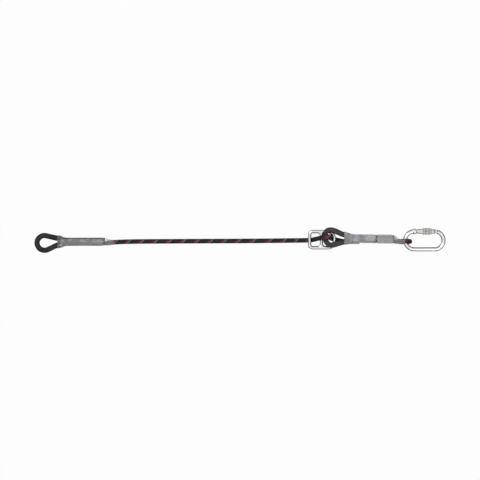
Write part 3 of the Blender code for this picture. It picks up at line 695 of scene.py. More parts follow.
shortSide = {
    "hook": (421.2 * mm, -2.0 * mm, 18.05 * mm),
    "loopBend": 12.05 * mm,
    "loopLean": 1.2 * mm,
    "cutEnd": 393.0 * mm,
    "coverEnd": 274.0 * mm,
    "stack": 5.1 * mm,
    # middle of the rope round the eye
    "eye": inMm([
        (259.3, 17.0, 27.4), (250.7, 21.0, 28.4), (241.8, 24.9, 28.7), (233.5, 27.2, 28.7),
        (225.0, 26.8, 28.6), (219.2, 22.6, 27.9), (216.9, 16.6, 26.4), (216.6, 10.0, 25.5),
        (217.3, 3.4, 26.4), (220.6, -4.0, 28.0), (226.0, -9.6, 28.7), (233.5, -11.4, 28.7),
        (242.2, -9.4, 28.7), (251.5, -6.6, 28.4), (259.3, -4.4, 27.4),
    ]),
    # x, seam y, z, half the rows' distance, half the stack's height, thickness share
    "sewn": inMm([
        (264.9, 6.4, 26.5, 9.2, 0.0, 1.0), (274.0, 5.9, 25.3, 7.2, 0.0, 0.94),
        (282.0, 5.5, 24.2, 5.4, 0.0, 0.84), (290.0, 5.2, 23.3, 4.9, 0.0, 0.78),
        (308.0, 5.0, 21.7, 4.9, 0.0, 0.78), (328.0, 4.8, 20.2, 4.9, 0.6, 0.78),
        (345.0, 4.6, 18.6, 4.9, 3.0, 0.78), (362.0, 4.4, 17.4, 4.9, 5.1, 0.78),
        (390.0, 3.9, 18.05, 4.9, 5.1, 0.78),
    ], 1),
    # the sheath's own twist: metres along the rope, turns
    "twist": [(-0.01, 0.0), (0.2, 0.0), (0.4, -0.15), (0.6, -0.15)],
    # x, half the pair's distance, lean, thickness share
    "loopLegs": inMm([(398.0, 6.2, 0.0, 0.82), (406.0, 8.6, 0.4, 0.88), (413.5, 11.0, 0.8, 1.0)], 1),
    # x, y, half width and half height of the film's narrow end, and its lip on the upper leg
    "filmEnd": inMm([
        (396.5, 2.8, 10.6, 12.4), (400.0, -1.0, 7.9, 13.5), (406.0, -2.0, 7.4, 15.4),
        (413.0, -2.0, 7.8, 17.9), (419.5, -2.0, 8.2, 19.1),
    ]),
    "lipFrom": 413.0 * mm,
    "lipLow": 10.5 * mm,
}


def shortRoute():
    facts = shortSide
    sewn = facts["sewn"]
    hookX, hookY, hookZ = facts["hook"]
    route = [(facts["cutEnd"], sewn[-1][1] + sewn[-1][3], hookZ, ropeFacts["pressed"])]
    route += [(x, y + apart, z, share) for x, y, z, apart, stack, share in reversed(sewn)]
    route += facts["eye"]
    route += [(x, y - apart, z - stack, share) for x, y, z, apart, stack, share in sewn]
    legs = [(x, hookY - lean, hookZ - apart, share) for x, apart, lean, share in facts["loopLegs"]]
    lean = facts["loopLean"] / facts["loopBend"]
    bend = arcPoints((hookX, hookZ), facts["loopBend"], -94, 94, 13)
    route += legs + [(x, hookY + lean * (z - hookZ), z, 1.0) for x, z in bend]
    route += [(x, 2 * hookY - y, 2 * hookZ - z, share) for x, y, z, share in reversed(legs)]
    back = [row for row in sewn if row[4] >= facts["stack"]]
    return route + [(x, y - apart, z + stack, share) for x, y, z, apart, stack, share in reversed(back)]


shortPath = smoothRoute(shortRoute(), 1.8 * mm)
ropeTube("shortRope", shortPath, -9.6 * mm, (0, -1, 0), shortSide["twist"], "short_side", "short_rope")
print("weave and short side's rope laid")

coverFacts = {
    "skin": 6.9 * mm,
    "wall": 0.55 * mm,
    "sides": 40,
    "step": 1.3 * mm,
    # the weave's colour runs from dark in its hollows to light on its crests, the difference being painted
    # shade
    "dark": (0.009, 0.009, 0.010),
    "light": (0.046, 0.046, 0.051),
    "ribsAround": 26.0,
    "pick": 1.5 * mm,
    "relief": 0.35 * mm,
    "pucker": 0.22 * mm,
}


def webbingMaterial(name, bright, gloss):
    facts = coverFacts
    material, tree, shader = newMaterial(name)
    along, around = onSheath(tree)
    ribs = times(tree, around, facts["ribsAround"])
    picks = calc(tree, "DIVIDE", along, facts["pick"])
    # each rib's picks stand half a pick from its neighbour's
    shift = times(tree, calc(tree, "FLOORED_MODULO", calc(tree, "FLOOR", ribs), 2.0), 0.5)
    slope = times(tree, calc(tree, "FRACT", ribs), 0.35)
    bead = arch(tree, plus(tree, plus(tree, picks, shift), slope))
    height = calc(tree, "SQRT", times(tree, arch(tree, ribs), plus(tree, 0.25, bead)))
    space = ownSpace(tree)
    # random tone from the cloud, and painted shade in the hollows between ribs and picks
    tone = times(tree, height, spread(tree, cloud(tree, space, 60.0), 0.3, 0.7, 0.55, 1.0))
    tint = blendColor(tree, tone, facts["dark"], facts["light"])
    # painted shade and light: the weave's colour darkens towards its outline, where the light comes in flat,
    # and the bright level makes shaded and lit copies of one webbing
    shade = spread(tree, facing(tree), 0.15, 0.75, 1.3 * bright, 0.35 * bright)
    feed(shader.inputs["Base Color"], shaded(tree, tint, shade))
    feed(shader.inputs["Roughness"], spread(tree, tone, 0, 1, 0.75, 0.5))
    feed(shader.inputs["Specular IOR Level"], gloss)
    fuzz = times(tree, cloud(tree, space, 2400.0, 2.0), 0.25)
    relief(tree, shader, plus(tree, height, fuzz), facts["relief"], 0.8)
    return material


def pucker(seed):
    # small folds that the webbing gathers on the inside of its bend
    def move(along, turn):
        angle = 2 * math.pi * turn
        spot = Vector((along * 190.0, math.cos(angle) * 1.6 + seed, math.sin(angle) * 1.6))
        return (noise.noise(spot) - 0.25) * coverFacts["pucker"]
    return move


def eyeCover(name, webbing, route, endX, seed, body, node):
    facts = coverFacts
    path = [p for p in smoothRoute(route, facts["step"]) if p.x < endX]
    piece = tube(name, path, facts["skin"], facts["sides"], 0.0, (0, 0, 1), facts["wall"], pucker(seed))
    dress(piece, webbing, body, node)


# the same webbing twice, with painted light: the left copy shaded, the right copy lit
leftWebbing = webbingMaterial("leftWebbing", 0.75, 0.08)
rightWebbing = webbingMaterial("rightWebbing", 1.35, 0.12)
eyeCover("leftEyeCover", leftWebbing, leftRoute(), longSide["coverEnd"], 2.0, "long_side", "left_eye_cover")
eyeCover("rightEyeCover", rightWebbing, shortRoute(), shortSide["coverEnd"], 9.0, "short_side",
         "right_eye_cover")
print("webbing covers sewn on")

filmFacts = {
    "wall": 0.4 * mm,
    "packing": 1.25 * mm,
    "squareness": 0.55,
    # how far the film stands off the strands, all round and then to each side
    "leftStart": (0.9 * mm, 0.7 * mm),
    "leftStand": (0.0, 0.9 * mm),
    "rightStart": (0.0, 0.7 * mm),
    "rightStand": (0.9 * mm, 0.4 * mm),
    # past the tail: x, y, half width
    "leftTaper": inMm([(-343.0, -2.6, 10.4), (-334.0, -4.6, 8.4), (-320.8, -4.2, 7.25)]),
    "around": 64,
    "step": 1.6 * mm,
    "blur": 4.0 * mm,
    "leftCrinkle": 0.28 * mm,
    "rightCrinkle": 0.3 * mm,
    "haze": (0.46, 0.455, 0.465),
    # colour of the painted highlight streaks along the film's wrinkles
    "streak": (0.8, 0.8, 0.82),
    "creaseGlint": (0.7, 0.7, 0.71),
    "creaseCover": 0.24,
    "relief": 1.1 * mm,
    # where the film is gathered or milky: x from and to in mm, share, grey
    "gathers": [
        (-469.0, -456.0, 0.85, 0.088), (-345.0, -327.0, 0.2, 0.45),
        (262.0, 281.0, 0.8, 0.26), (350.0, 390.0, 0.3, 0.62), (393.0, 424.0, 0.3, 0.27),
    ],
}
labelFacts = {
    "thick": 0.25 * mm,
    "step": 2.0 * mm,
    "across": 26,
    "dent": 0.08 * mm,
    "spare": 0.3 * mm,
    # x from and to, and the degrees from and to that it covers round the film's oval
    "left": (-456.0 * mm, -352.0 * mm, 66, 176),
    "right": (282.0 * mm, 345.0 * mm, 20, 150),
    "grey": (0.088, 0.087, 0.088),
    "pale": (0.15, 0.145, 0.16),
    "paleFrom": -391.0 * mm,
    "mauve": (0.33, 0.31, 0.35),
    # the next two: where a darker line runs along the mauve label, and its colour
    "darkLineY": -1.9 * mm,
    "fold": (0.05, 0.05, 0.05),
    "worn": (0.45, 0.45, 0.47),
    "wear": 0.42,
    "relief": 0.12 * mm,
}
seamFacts = {
    "thread": 0.4 * mm,
    "white": (0.62, 0.60, 0.58),
    "half": 3.2 * mm,
    "rise": 0.7 * mm,
    "dip": 0.25 * mm,
    "leftStitches": 40,
    "rightStitches": 20,
    "relief": 0.15 * mm,
}


def filmMaterial(name, thin, thick, seed):
    facts = filmFacts
    material, tree, shader = newMaterial(name)
    x, y, _ = parts(tree, ownSpace(tree))
    moved = put(tree, "Mapping")
    feed(moved.inputs["Vector"], ownSpace(tree))
    moved.inputs["Location"].default_value = (seed, seed, 0)
    space = moved.outputs[0]
    crinkle = cloud(tree, space, 60.0, 3.0, (0.4, 1.0, 1.0))
    streak = cloud(tree, space, 420.0, 3.0, (0.15, 1.0, 1.0))
    fold = calc(tree, "POWER", awayFrom(tree, crinkle, 0.5), 0.5)
    milky = spread(tree, fold, 0.05, 0.45, thick, thin)
    # painted highlights: pale streaks along the film's wrinkles, mixed into its colour
    pale = blendColor(tree, streak, facts["haze"], facts["streak"])
    uneven = spread(tree, crinkle, 0.3, 0.7, 0.75, 1.15)
    for start, stop, share, grey in facts["gathers"]:
        rise = spread(tree, x, (start - 3) * mm, (start + 2) * mm)
        fall = spread(tree, x, (stop - 3) * mm, (stop + 5) * mm, 1.0, 0.0)
        band = times(tree, rise, fall)
        pale = blendColor(tree, band, pale, (grey, grey, 1.03 * grey))
        milky = calc(tree, "MAXIMUM", milky, times(tree, times(tree, band, share), uneven))
    # the shrunk film's creases catch the light as short pale lines along the rope
    wave = cloud(tree, space, 150.0, 2.0, (0.28, 1.0, 1.0))
    crease = spread(tree, awayFrom(tree, wave, 0.5), 0.0, 0.035, 1.0, 0.0)
    crease = times(tree, crease, spread(tree, crinkle, 0.44, 0.58))
    pale = blendColor(tree, crease, pale, facts["creaseGlint"])
    milky = calc(tree, "MAXIMUM", milky, times(tree, crease, facts["creaseCover"]))
    # stretched clear over the far strand of the left eye
    far = times(tree, spread(tree, y, 3.0 * mm, 5.0 * mm), spread(tree, x, -347 * mm, -343 * mm, 1.0, 0.0))
    feed(shader.inputs["Alpha"], times(tree, milky, minus(tree, 1.0, times(tree, far, 0.7))))
    feed(shader.inputs["Base Color"], pale)
    feed(shader.inputs["Roughness"], spread(tree, streak, 0.3, 0.7, 0.16, 0.36))
    feed(shader.inputs["IOR"], 1.5)
    height = plus(tree, crinkle, times(tree, streak, 0.35))
    relief(tree, shader, plus(tree, height, times(tree, crease, 0.3)), facts["relief"], 0.8)
    return material


def paperMaterial(name, color, other=None, darkLineY=None):
    # the label's ground may have another colour at its end, or a darker line along it
    facts = labelFacts
    material, tree, shader = newMaterial(name)
    space = ownSpace(tree)
    x, y, _ = parts(tree, space)
    blot = cloud(tree, space, 55.0)
    worn = cloud(tree, space, 95.0, 2.0, (0.55, 1.0, 1.0))
    fibre = cloud(tree, space, 900.0, 2.0, (0.3, 1.0, 1.0))
    if other:
        color = blendColor(tree, calc(tree, "GREATER_THAN", x, facts["paleFrom"]), color, other)
    shade = blendColor(tree, spread(tree, blot, 0.38, 0.56, 0.6, 0.0), color, (0.0, 0.0, 0.0))
    shade = blendColor(tree, spread(tree, worn, 0.48, 0.6, 0.0, facts["wear"]), shade, facts["worn"])
    shade = blendColor(tree, times(tree, fibre, 0.1), shade, (0.5, 0.5, 0.5))
    if darkLineY:
        edge = spread(tree, awayFrom(tree, y, darkLineY), 0.5 * mm, 2.2 * mm, 0.75, 0.0)
        shade = blendColor(tree, edge, shade, facts["fold"])
    feed(shader.inputs["Base Color"], shade)
    feed(shader.inputs["Roughness"], spread(tree, fibre, 0.3, 0.7, 0.45, 0.62))
    relief(tree, shader, plus(tree, fibre, blot), facts["relief"], 0.5)
    return material


def threadMaterial():
    facts = seamFacts
    material, tree, shader = newMaterial("sewingThread")
    along, around = onSheath(tree)
    ply = arch(tree, plus(tree, times(tree, along, 900.0), times(tree, around, 3.0)))
    shadow = tuple(0.6 * c for c in facts["white"])
    feed(shader.inputs["Base Color"], blendColor(tree, ply, shadow, facts["white"]))
    feed(shader.inputs["Roughness"], spread(tree, ply, 0, 1, 0.7, 0.5))
    relief(tree, shader, ply, facts["relief"], 0.8)
    return material


clearFilm = filmMaterial("shrinkFilm", 0.035, 0.12, 0.0)
capFilm = filmMaterial("capFilm", 0.12, 0.3, 0.4)
greyPaper = paperMaterial("greyLabel", labelFacts["grey"], labelFacts["pale"])
mauvePaper = paperMaterial("mauveLabel", labelFacts["mauve"], darkLineY=labelFacts["darkLineY"])
whiteThread = threadMaterial()
seamHigh = 0.3 * mm + 2 * seamFacts["thread"]


def leftSections(out=0.0):
    # x, y, z, half width, half height of the film's outside
    facts = filmFacts
    packing, z = facts["packing"], longSide["sleeveZ"]
    made = []
    for x, y, apart, share in longSide["sewn"]:
        stand, slack = facts["leftStart"] if x < longSide["coverEnd"] else facts["leftStand"]
        reach = share * ropeFacts["radius"] + stand
        tall = min(reach + seamHigh + packing, z)
        made.append((x, y, z, apart + reach + packing + slack + out, tall + out))
    tall = ropeFacts["radius"] + packing
    return made + [(x, y, z, wide + out, tall + out) for x, y, wide in facts["leftTaper"]]


def rightSections(out=0.0):
    facts = filmFacts
    packing, hookZ = facts["packing"], shortSide["hook"][2]
    made = []
    for x, y, z, apart, stack, share in shortSide["sewn"]:
        stand, slack = facts["rightStart"] if x < shortSide["coverEnd"] else facts["rightStand"]
        reach = share * ropeFacts["radius"] + stand
        tall = max(reach + seamHigh, stack + reach) + packing
        made.append((x, y, z, apart + reach + packing + slack + out, tall + out))
    return made + [(x, y, hookZ, wide + out, tall + out) for x, y, wide, tall in shortSide["filmEnd"]]


def sectionAt(sections, x):
    for a, b in zip(sections, sections[1:]):
        if x <= b[0]:
            t = min(max((x - a[0]) / (b[0] - a[0]), 0.0), 1.0)
            return [p + (q - p) * t for p, q in zip(a[1:], b[1:])]
    return list(sections[-1][1:])


def softSection(sections, x):
    # the film bridges the corners between the measured sections
    low, high = sections[0][0], sections[-1][0]
    spots = [x + d * filmFacts["blur"] for d in (-1, -0.5, 0, 0.5, 1)]
    rows = [sectionAt(sections, min(max(spot, low), high)) for spot in spots]
    return [sum(column) / len(rows) for column in zip(*rows)]


def onOval(sections, x, angle, move):
    # the place at an angle round the oval that the sections have at x, moved out by move
    y, z, wide, tall = softSection(sections, x)
    c, s = math.cos(angle), math.sin(angle)
    power = filmFacts["squareness"]
    return (x, y + (wide + move) * math.copysign(abs(c) ** power, c),
            z + (tall + move) * math.copysign(abs(s) ** power, s))


def giveWall(piece, wall, smooth):
    # the wall grows inwards from the outer skin
    top = max(piece.data.polygons, key=lambda face: face.center.z)
    if top.normal.z < 0:
        piece.data.flip_normals()
    withModifier(piece, "SOLIDIFY", thickness=wall, offset=-1.0)
    smoothBy(smooth)
    return piece


def drawnSleeve(name, sections, crinkle, seed):
    # a circle drawn out along X, of which every ring then takes the oval of its own place
    low, high = sections[0][0], sections[-1][0]
    count = round((high - low) / filmFacts["step"])
    piece = startCircle(name, filmFacts["around"], 1.0, (low, 0, 0), filled=False)
    for _ in range(count):
        pull(x=(high - low) / count)
    editEnd()
    for vert in piece.data.vertices:
        x = vert.co.x
        angle = math.atan2(vert.co.z, vert.co.y)
        fine = Vector((x * 130.0, 2.2 * math.cos(angle) + seed, 2.2 * math.sin(angle)))
        long = Vector((x * 24.0, 4.2 * math.cos(angle) + seed, 4.2 * math.sin(angle)))
        move = crinkle * (noise.noise(fine) * 0.5 + noise.noise(long) - 0.6)
        vert.co = onOval(sections, x, angle, move)
    settle(piece)
    return giveWall(piece, filmFacts["wall"], 60)


leftSleeve = drawnSleeve("leftShrinkSleeve", leftSections(), filmFacts["leftCrinkle"], 3.0)
dress(leftSleeve, clearFilm, "long_side", "left_shrink_sleeve")
rightSleeve = drawnSleeve("rightShrinkSleeve", rightSections(), filmFacts["rightCrinkle"], 8.0)
# only a lip of the film reaches on over the loop's upper leg
_, hookY, hookZ = shortSide["hook"]
lipAt, far = shortSide["lipFrom"], 30 * mm
notch = slab("lipNotch", lipAt, lipAt + far, hookY - far, hookY + far, far)
settle(notch, Matrix.Translation((0, 0, hookZ + shortSide["lipLow"] - far)))
cutAway(rightSleeve, notch)
settle(rightSleeve, smooth=60)
dress(rightSleeve, clearFilm, "short_side", "right_shrink_sleeve")


def bentLabel(name, sections, fromX, toX, fromAngle, toAngle):
    facts = labelFacts
    bpy.ops.object.select_all(action="DESELECT")
    bpy.ops.mesh.primitive_grid_add(x_subdivisions=round((toX - fromX) / facts["step"]),
                                    y_subdivisions=facts["across"], size=1.0)
    piece = startPiece(name)
    for vert in piece.data.vertices:
        x = fromX + (vert.co.x + 0.5) * (toX - fromX)
        angle = math.radians(fromAngle + (toAngle - fromAngle) * (0.5 - vert.co.y))
        dent = facts["dent"] * noise.noise(Vector((x * 90.0, angle * 2.0, 4.0)))
        vert.co = onOval(sections, x, angle, dent)
    settle(piece)
    withModifier(piece, "SOLIDIFY", thickness=facts["thick"] * 0.6, offset=0.0)
    return settle(piece, smooth=60)


inset = -(filmFacts["wall"] + labelFacts["spare"] + labelFacts["thick"] / 2)
leftLabel = bentLabel("leftLabel", leftSections(inset), *labelFacts["left"])
dress(leftLabel, greyPaper, "long_side", "left_label")
rightLabel = bentLabel("rightLabel", rightSections(inset), *labelFacts["right"])
dress(rightLabel, mauvePaper, "short_side", "right_label")


def seam(name, first, last, stitches):
    # bar-tack thread on the strands: each crossing lies flat and dips at its ends
    facts = seamFacts
    over = Vector((0, 0, ropeFacts["pressed"] * ropeFacts["radius"] + facts["rise"]))
    first, last = Vector(first) + over, Vector(last) + over
    route = []
    for k in range(stitches + 1):
        place = first.lerp(last, k / stitches)
        side = facts["half"] if k % 2 else -facts["half"]
        route.append((place.x, place.y + side, place.z - facts["dip"]))
        if k < stitches:
            route.append(first.lerp(last, (k + 0.5) / stitches))
    return tube(name, smoothRoute(route, 0.8 * mm), facts["thread"], 10)


# from the fourth row of sewn strands to the sixth
leftEnds = [(x, y, longSide["sleeveZ"]) for x, y, _, _ in longSide["sewn"][3:6:2]]
leftSeam = seam("leftStitching", *leftEnds, seamFacts["leftStitches"])
dress(leftSeam, whiteThread, "long_side", "left_stitching")
rightEnds = [row[:3] for row in shortSide["sewn"][3:6:2]]
rightSeam = seam("eyeStitching", *rightEnds, seamFacts["rightStitches"])
dress(rightSeam, whiteThread, "short_side", "eye_stitching")


def tailCap():
    # a dipped cap: drawn from a circle, closed at the far end, then given its wall
    facts = adjusterFacts
    y, z = facts["weave"][-1][1:]
    reach = ropeFacts["radius"] + facts["capSlack"]
    rows = near(facts["capFrom"], reach, [(0, 0.2), (1.2, 0)])
    rows += near(facts["capTo"], reach, [(-9, 0), (-2.4, -0.1), (-0.8, -1.0), (-0.2, -2.6), (0, -5.3)])
    piece = startCircle("tailEndCap", 40, rows[0][1], (rows[0][0], y, z), filled=False)
    drawRound(rows, y, z)
    bpy.ops.mesh.edge_face_add()
    editEnd()
    settle(piece)
    return giveWall(piece, facts["capWall"], 50)


dress(tailCap(), capFilm, "adjuster", "tail_end_cap")
print("film, labels and stitching on")

steelFacts = {
    # colour, size of the marks, their depth, roughness dull and bright, colour share left at the painted dark
    # outline
    "ringSteel": ((0.88, 0.88, 0.88), 110.0, 0.012 * mm, 0.22, 0.14, 0.1),
    "carabinerSteel": ((0.84, 0.84, 0.83), 130.0, 0.006 * mm, 0.26, 0.18, 0.1),
    "gateSteel": ((0.66, 0.66, 0.65), 160.0, 0.008 * mm, 0.44, 0.32, 0.85),
    "rivetSteel": ((0.36, 0.36, 0.35), 180.0, 0.02 * mm, 0.4, 0.28, 0.4),
    "sleeveSteel": ((0.66, 0.66, 0.63), 240.0, 0.1 * mm, 0.45, 0.3, 0.6),
}


def wearGroup():
    group, given, result = newGroup("wear", ("Place", "Size"), ("Smudge", "Scratch", "Height"))
    grown = put(group, "VectorMath", operation="SCALE")
    feed(grown.inputs[0], given["Place"])
    feed(grown.inputs["Scale"], given["Size"])
    where = grown.outputs[0]
    lines = cloud(group, where, 9.0, 3.0, (0.12, 1.0, 1.0))
    scratch = spread(group, awayFrom(group, lines, 0.5), 0.0, 0.03, 1.0, 0.0)
    scratch = times(group, scratch, spread(group, cloud(group, where, 2.5, 2.0), 0.5, 0.62))
    peened = minus(group, cloud(group, where, 5.0, 2.0), times(group, scratch, 0.5))
    feed(result["Smudge"], cloud(group, where, 1.0, 4.0))
    feed(result["Scratch"], scratch)
    feed(result["Height"], peened)
    return group


wear = wearGroup()


def ringInside(tree):
    # 1 along the inner side of the ring's frame, where its bars shade each other
    facts = adjusterFacts
    x, y, _ = parts(tree, ownSpace(tree))
    barX = facts["barX"]
    bend = spread(tree, x, barX, barX + 10 * mm, facts["leftCorner"], facts["rightCorner"])
    over = []
    for place, low, high in ((x, facts["left"], facts["right"]), (y, facts["low"], facts["top"])):
        far = awayFrom(tree, place, (low + high) / 2)
        over.append(plus(tree, minus(tree, far, (high - low) / 2), bend))
    squares = [calc(tree, "POWER", calc(tree, "MAXIMUM", value, 0.0), 2.0) for value in over]
    outside = calc(tree, "SQRT", plus(tree, *squares))
    within = calc(tree, "MINIMUM", calc(tree, "MAXIMUM", *over), 0.0)
    # how far outside the frame's middle line, with a minus inside it
    gap = minus(tree, plus(tree, outside, within), bend)
    inner = spread(tree, gap, -2.4 * mm, -0.5 * mm, 1.0, 0.0)
    side = times(tree, inner, spread(tree, gap, -5.2 * mm, -4.4 * mm))
    return times(tree, side, spread(tree, awayFrom(tree, x, barX), 5.0 * mm, 10.0 * mm))


def steelMaterial(name, inside=None, pale=None):
    # inside and pale give masks: painted shade on the one, no painted dark outline on the other
    color, size, depth, dull, bright, rimLeft = steelFacts[name]
    material, tree, shader = newMaterial(name)
    marks = useGroup(tree, wear, Place=ownSpace(tree), Size=size)
    cloudy = spread(tree, marks["Smudge"], 0.3, 0.7)
    tone = blendColor(tree, cloudy, tuple(0.9 * c for c in color), color)
    tone = blendColor(tree, times(tree, marks["Scratch"], 0.4), tone, (0.5, 0.5, 0.5))
    # painted dark reflection: the colour darkens towards the outline
    shade = spread(tree, facing(tree), 0.14, 0.48, 1.0, rimLeft)
    if pale:
        shade = calc(tree, "MAXIMUM", shade, times(tree, pale(tree), 0.8))
    tone = shaded(tree, tone, shade)
    # painted shade along the inner side of the ring's frame
    if inside:
        tone = blendColor(tree, times(tree, inside(tree), 0.85), tone, (0.05, 0.05, 0.05))
    feed(shader.inputs["Base Color"], tone)
    feed(shader.inputs["Metallic"], 1.0)
    feed(shader.inputs["Specular Tint"], (0.4, 0.4, 0.4))
    feed(shader.inputs["Roughness"], spread(tree, marks["Smudge"], 0.3, 0.7, dull, bright))
    relief(tree, shader, marks["Height"], depth, 0.5)
    return material


def adjusterRing():
    facts = adjusterFacts
    left, right, high, low, z = (facts[key] for key in ("left", "right", "top", "low", "z"))
    a, b, barX = facts["leftCorner"], facts["rightCorner"], facts["barX"]
    middle = (high + low) / 2
    ring = startCircle("adjusterRing", 32, facts["rod"], (left, middle, z), False, False)
    pull(y=high - a - middle)
    swing(-90, (left + a, high - a, z), 10)
    pull(x=right - b - left - a)
    swing(-90, (right - b, high - b, z), 16)
    pull(y=low - high + 2 * b)
    swing(-90, (right - b, low + b, z), 16)
    pull(x=left + a - right + b)
    swing(-90, (left + a, low + a, z), 10)
    pull(y=middle - low - a)
    editEnd()
    settle(ring)

    steps = facts["bar"]
    rows = steps + [(high - low - y, wide, tall) for y, wide, tall in reversed(steps)]
    bar = startCircle("crossbar", 32, rows[0][2], (barX, low, z), False)
    bpy.ops.transform.resize(value=(rows[0][1] / rows[0][2], 1, 1), center_override=(barX, low, z))
    for (y0, wide0, tall0), (y1, wide1, tall1) in zip(rows, rows[1:]):
        pull(y=y1 - y0)
        bpy.ops.transform.resize(value=(wide1 / wide0, 1, tall1 / tall0), center_override=(barX, low + y1, z))
    editEnd()
    settle(bar)
    joinSolid(ring, bar)
    return settle(ring, smooth=42)


ringSteel = steelMaterial("ringSteel", inside=ringInside)
dress(adjusterRing(), ringSteel, "adjuster", "adjuster_ring")
print("ring bent and welded")

carabinerFacts = {
    "rod": 5.25 * mm,
    "bend": 22.85 * mm,
    "far": 99.5 * mm,
    "ovalY": 3.0 * mm,
    "noseFace": 27.0 * mm,
    "collar": 7.5 * mm,
    "collarLong": 6.5 * mm,
    "hookLong": 6.4 * mm,
    "tongue": 4.4 * mm,
    "reach": 3.4 * mm,
    "gate": 6.35 * mm,
    "gateGap": 0.8 * mm,
    "slot": 5.1 * mm,
    "slotDeep": 5.7 * mm,
    "clear": 0.3 * mm,        # between pieces that turn or slide on each other
    "pinHole": 1.3 * mm,
    "rivetX": 74.4 * mm,
    "rivet": 2.2 * mm,
    "rivetHead": 3.1 * mm,
    "sleeve": 9.0 * mm,
    "sleeveFrom": 45.4 * mm,
    "sleeveLong": 21.8 * mm,
    "ridges": 3,
    "flutes": 20,
    "fluteDeep": 0.75 * mm,
    # from the rivet: the bore behind the gate's spring and the plunger's shoulder
    "boreEnd": -29.0 * mm,
    "bore": 2.75 * mm,
    "shoulder": -8.7 * mm,
    "wire": 0.4 * mm,
    "coil": 2.0 * mm,
    "turns": 9,
    "push": 1.46 * mm,
}
tilt = math.asin((shortSide["hook"][2] - carabinerFacts["rod"]) / carabinerFacts["far"])
carabinerPlace = Matrix.Translation(shortSide["hook"]) @ Matrix.Rotation(tilt, 4, "Y")
gateLine = carabinerPlace @ Matrix.Translation((0, carabinerFacts["ovalY"] + carabinerFacts["bend"], 0))
gateAxis = gateLine @ Matrix.Translation((carabinerFacts["rivetX"], 0, 0))


def noseEnd(tree):
    # 1 on the collar and the hook that the gate closes on, where the painted dark outline is mostly left off
    x, y, _ = parts(tree, ownSpace(tree))
    collar = shortSide["hook"][0] + carabinerFacts["noseFace"] - carabinerFacts["collarLong"]
    rise = spread(tree, x, collar - 4 * mm, collar - 1 * mm)
    fall = spread(tree, x, collar + 16 * mm, collar + 20 * mm, 1.0, 0.0)
    return times(tree, times(tree, rise, fall), spread(tree, y, 10 * mm, 14 * mm))


def roundBar(name, rows, sides, filled=True):
    # a turned shape along X from (x, radius) rows
    piece = startCircle(name, sides, rows[0][1], (rows[0][0], 0, 0), filled=filled)
    drawRound(rows)
    editEnd()
    return settle(piece)


def crossHole(name, radius, x, y=0.0):
    # what a drill across the gate takes away
    bpy.ops.object.select_all(action="DESELECT")
    bpy.ops.mesh.primitive_cylinder_add(vertices=28, radius=radius, depth=24 * mm, location=(x, y, 0))
    piece = startPiece(name)
    applyPlace()
    return piece


def carabinerBody():
    facts = carabinerFacts
    bend, far, midY, rod = facts["bend"], facts["far"], facts["ovalY"], facts["rod"]
    face, thick, half = facts["noseFace"], facts["collar"], facts["tongue"] / 2
    back = face - facts["collarLong"]
    start = face - 2 * mm
    body = startCircle("carabinerBody", 36, rod, (start, midY + bend, 0))
    pull(x=bend - start)
    swing(180, (bend, midY, 0), 40)
    pull(x=far - 2 * bend)
    swing(163, (far - bend, midY, 0), 38)
    editEnd()
    settle(body)

    rows = [(back - 1.6 * mm, rod + 0.05 * mm)] + near(back, thick, [(0, -1.2), (1.0, -0.2), (1.6, 0)])
    collar = roundBar("noseCollar", rows + near(face, thick, [(-0.7, 0), (0, -0.6)]), 48)
    end = face + facts["hookLong"]
    outline = near(face, 0, [(-2, -1.4), (5, -1.4), (5, -4.4)])
    outline += near(end, 0, [(0, -4.4), (0, 2.4), (-1.2, 3.6)]) + near(face, 0, [(-2, 3.6)])
    hook = block("noseHook", outline, half, 0.25 * mm)
    x, reach = facts["rivetX"], facts["reach"]
    outline = near(x, 0, [(9, -4.4), (9, 3.8), (-1.5, 3.8)])
    outline = near(x - reach, 0, [(0, -4.0)]) + outline + near(x - reach, 0, [(0, 2.4)])
    tongue = block("hingeTongue", outline, half, 0.9 * mm)
    for other in (collar, hook, tongue):
        settle(other, Matrix.Translation((0, midY + bend, 0)))
        joinSolid(body, other)
    cutAway(body, crossHole("tongueHole", facts["rivet"] + facts["clear"], x, midY + bend))
    return settle(body, carabinerPlace, 42)


def carabinerGate():
    # made about the rivet, and hollow at both ends
    facts = carabinerFacts
    nose = facts["noseFace"] - facts["rivetX"]
    front = nose + facts["gateGap"]
    skin, deep, wide = facts["gate"], facts["slotDeep"], 9 * mm
    rows = near(front, skin, [(0, -0.7), (0.2, -0.3), (0.7, 0)]) + [(skin + 0.5 * mm, skin)]
    gate = roundBar("carabinerGate", rows, 48)
    outline = [(front - 1 * mm, -8 * mm), (0, -8 * mm)] + arcPoints((0, 0), skin, -90, 90, 25)
    outline += [(0, 8 * mm), (front - 1 * mm, 8 * mm)]
    cutAway(gate, block("gateOutline", outline, 8 * mm), "INTERSECT")
    cutAway(gate, slab("rearSlot", -deep, wide, -wide, wide, facts["slot"] / 2))
    end = nose + facts["hookLong"] + facts["gateGap"]
    cutAway(gate, slab("noseSlot", front - 1 * mm, end, -wide, wide, facts["slot"] / 2))
    cutAway(gate, crossHole("cheekHole", facts["rivet"] + facts["clear"], 0))
    cutAway(gate, crossHole("pinHole", facts["pinHole"], nose + 3.5 * mm, -3 * mm))
    bore = facts["bore"]
    cutAway(gate, roundBar("springBore", [(facts["boreEnd"], bore), (-deep + 1 * mm, bore)], 24))
    breakEdges(gate, 0.18 * mm, 45)
    return settle(gate, gateAxis, 42)


def rivetPiece():
    facts = carabinerFacts
    inner = facts["gate"] + facts["clear"]
    head = near(inner, facts["rivetHead"], [
        (-0.02, -0.9), (0, 0), (0.35, 0), (0.7, -0.5), (0.9, -1.1), (0.8, -1.6), (0.6, -2.0)])
    piece = roundBar("gateRivet", [(-x, r) for x, r in reversed(head)] + head, 36)
    return settle(piece, gateAxis @ Matrix.Rotation(-math.pi / 2, 4, "Y"), 35)


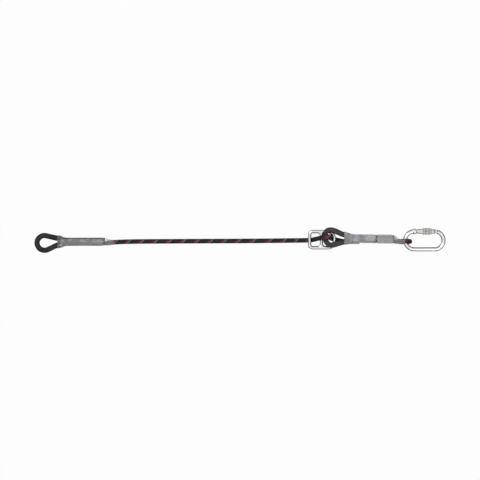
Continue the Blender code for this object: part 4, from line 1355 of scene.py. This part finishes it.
def springPiece():
    facts = carabinerFacts
    free = facts["clear"] + facts["wire"]
    first, last = facts["boreEnd"] + free, facts["shoulder"] - free
    count = facts["turns"] * 20
    points = []
    for k in range(count + 1):
        angle = 2 * math.pi * k / 20
        y, z = facts["coil"] * math.cos(angle), facts["coil"] * math.sin(angle)
        points.append(Vector((*(gateAxis @ Vector((first + (last - first) * k / count, y, z))), 1.0)))
    return tube("gateSpring", points, facts["wire"], 8), gateAxis @ Vector((first, 0, 0)), last - first


def screwSleeve():
    facts = carabinerFacts
    skin, start, long = facts["sleeve"], facts["sleeveFrom"], facts["sleeveLong"]
    bore = facts["gate"] + facts["clear"]
    step = long / facts["ridges"]
    rows = [(start, bore + 0.3 * mm), (start, skin - 2.0 * mm)]
    for k in range(facts["ridges"]):
        x = start + k * step
        rows += near(x, skin, [(0.15, -1.6), (0.7, -0.8), (1.3, -0.1), (1.7, 0)]) + [(x + step / 2, skin)]
        rows += near(x + step, skin, [(-1.7, 0), (-1.3, -0.1), (-0.7, -0.8), (-0.15, -1.6)])
    rows += [(start + long, skin - 2.0 * mm), (start + long, bore + 0.3 * mm)]
    rows += [(start + long - 0.4 * mm, bore), (start + 0.4 * mm, bore), rows[0]]
    piece = roundBar("screwSleeve", rows, facts["flutes"] * 8, False)
    # a flute is pressed into the ridges between every eight faces
    for vert in piece.data.vertices:
        reach = math.hypot(vert.co.y, vert.co.z)
        if reach > skin - 1.2 * mm:
            angle = math.atan2(vert.co.z, vert.co.y)
            wave = max(0.0, math.cos(facts["flutes"] * angle)) ** 1.5
            grow = (reach - facts["fluteDeep"] * wave) / reach
            vert.co.y *= grow
            vert.co.z *= grow
    return settle(piece, gateLine, 35)


rivetSteel = steelMaterial("rivetSteel")
sleeveSteel = steelMaterial("sleeveSteel")
bodySteel = steelMaterial("carabinerSteel", pale=noseEnd)
dress(carabinerBody(), bodySteel, "carabiner", "carabiner_body")
dress(carabinerGate(), steelMaterial("gateSteel"), "gate", "carabiner_gate")
dress(rivetPiece(), rivetSteel, "carabiner", "gate_rivet")
spring, springAnchor, springLong = springPiece()
dress(spring, sleeveSteel, "gate", "gate_spring")
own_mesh(spring)
dress(screwSleeve(), sleeveSteel, "lock_sleeve", "screw_sleeve")
for node in ("gate_latch_pin", "gate_plunger"):
    nodes[node].data.materials.clear()
    nodes[node].data.materials.append(rivetSteel)
print("carabiner built")
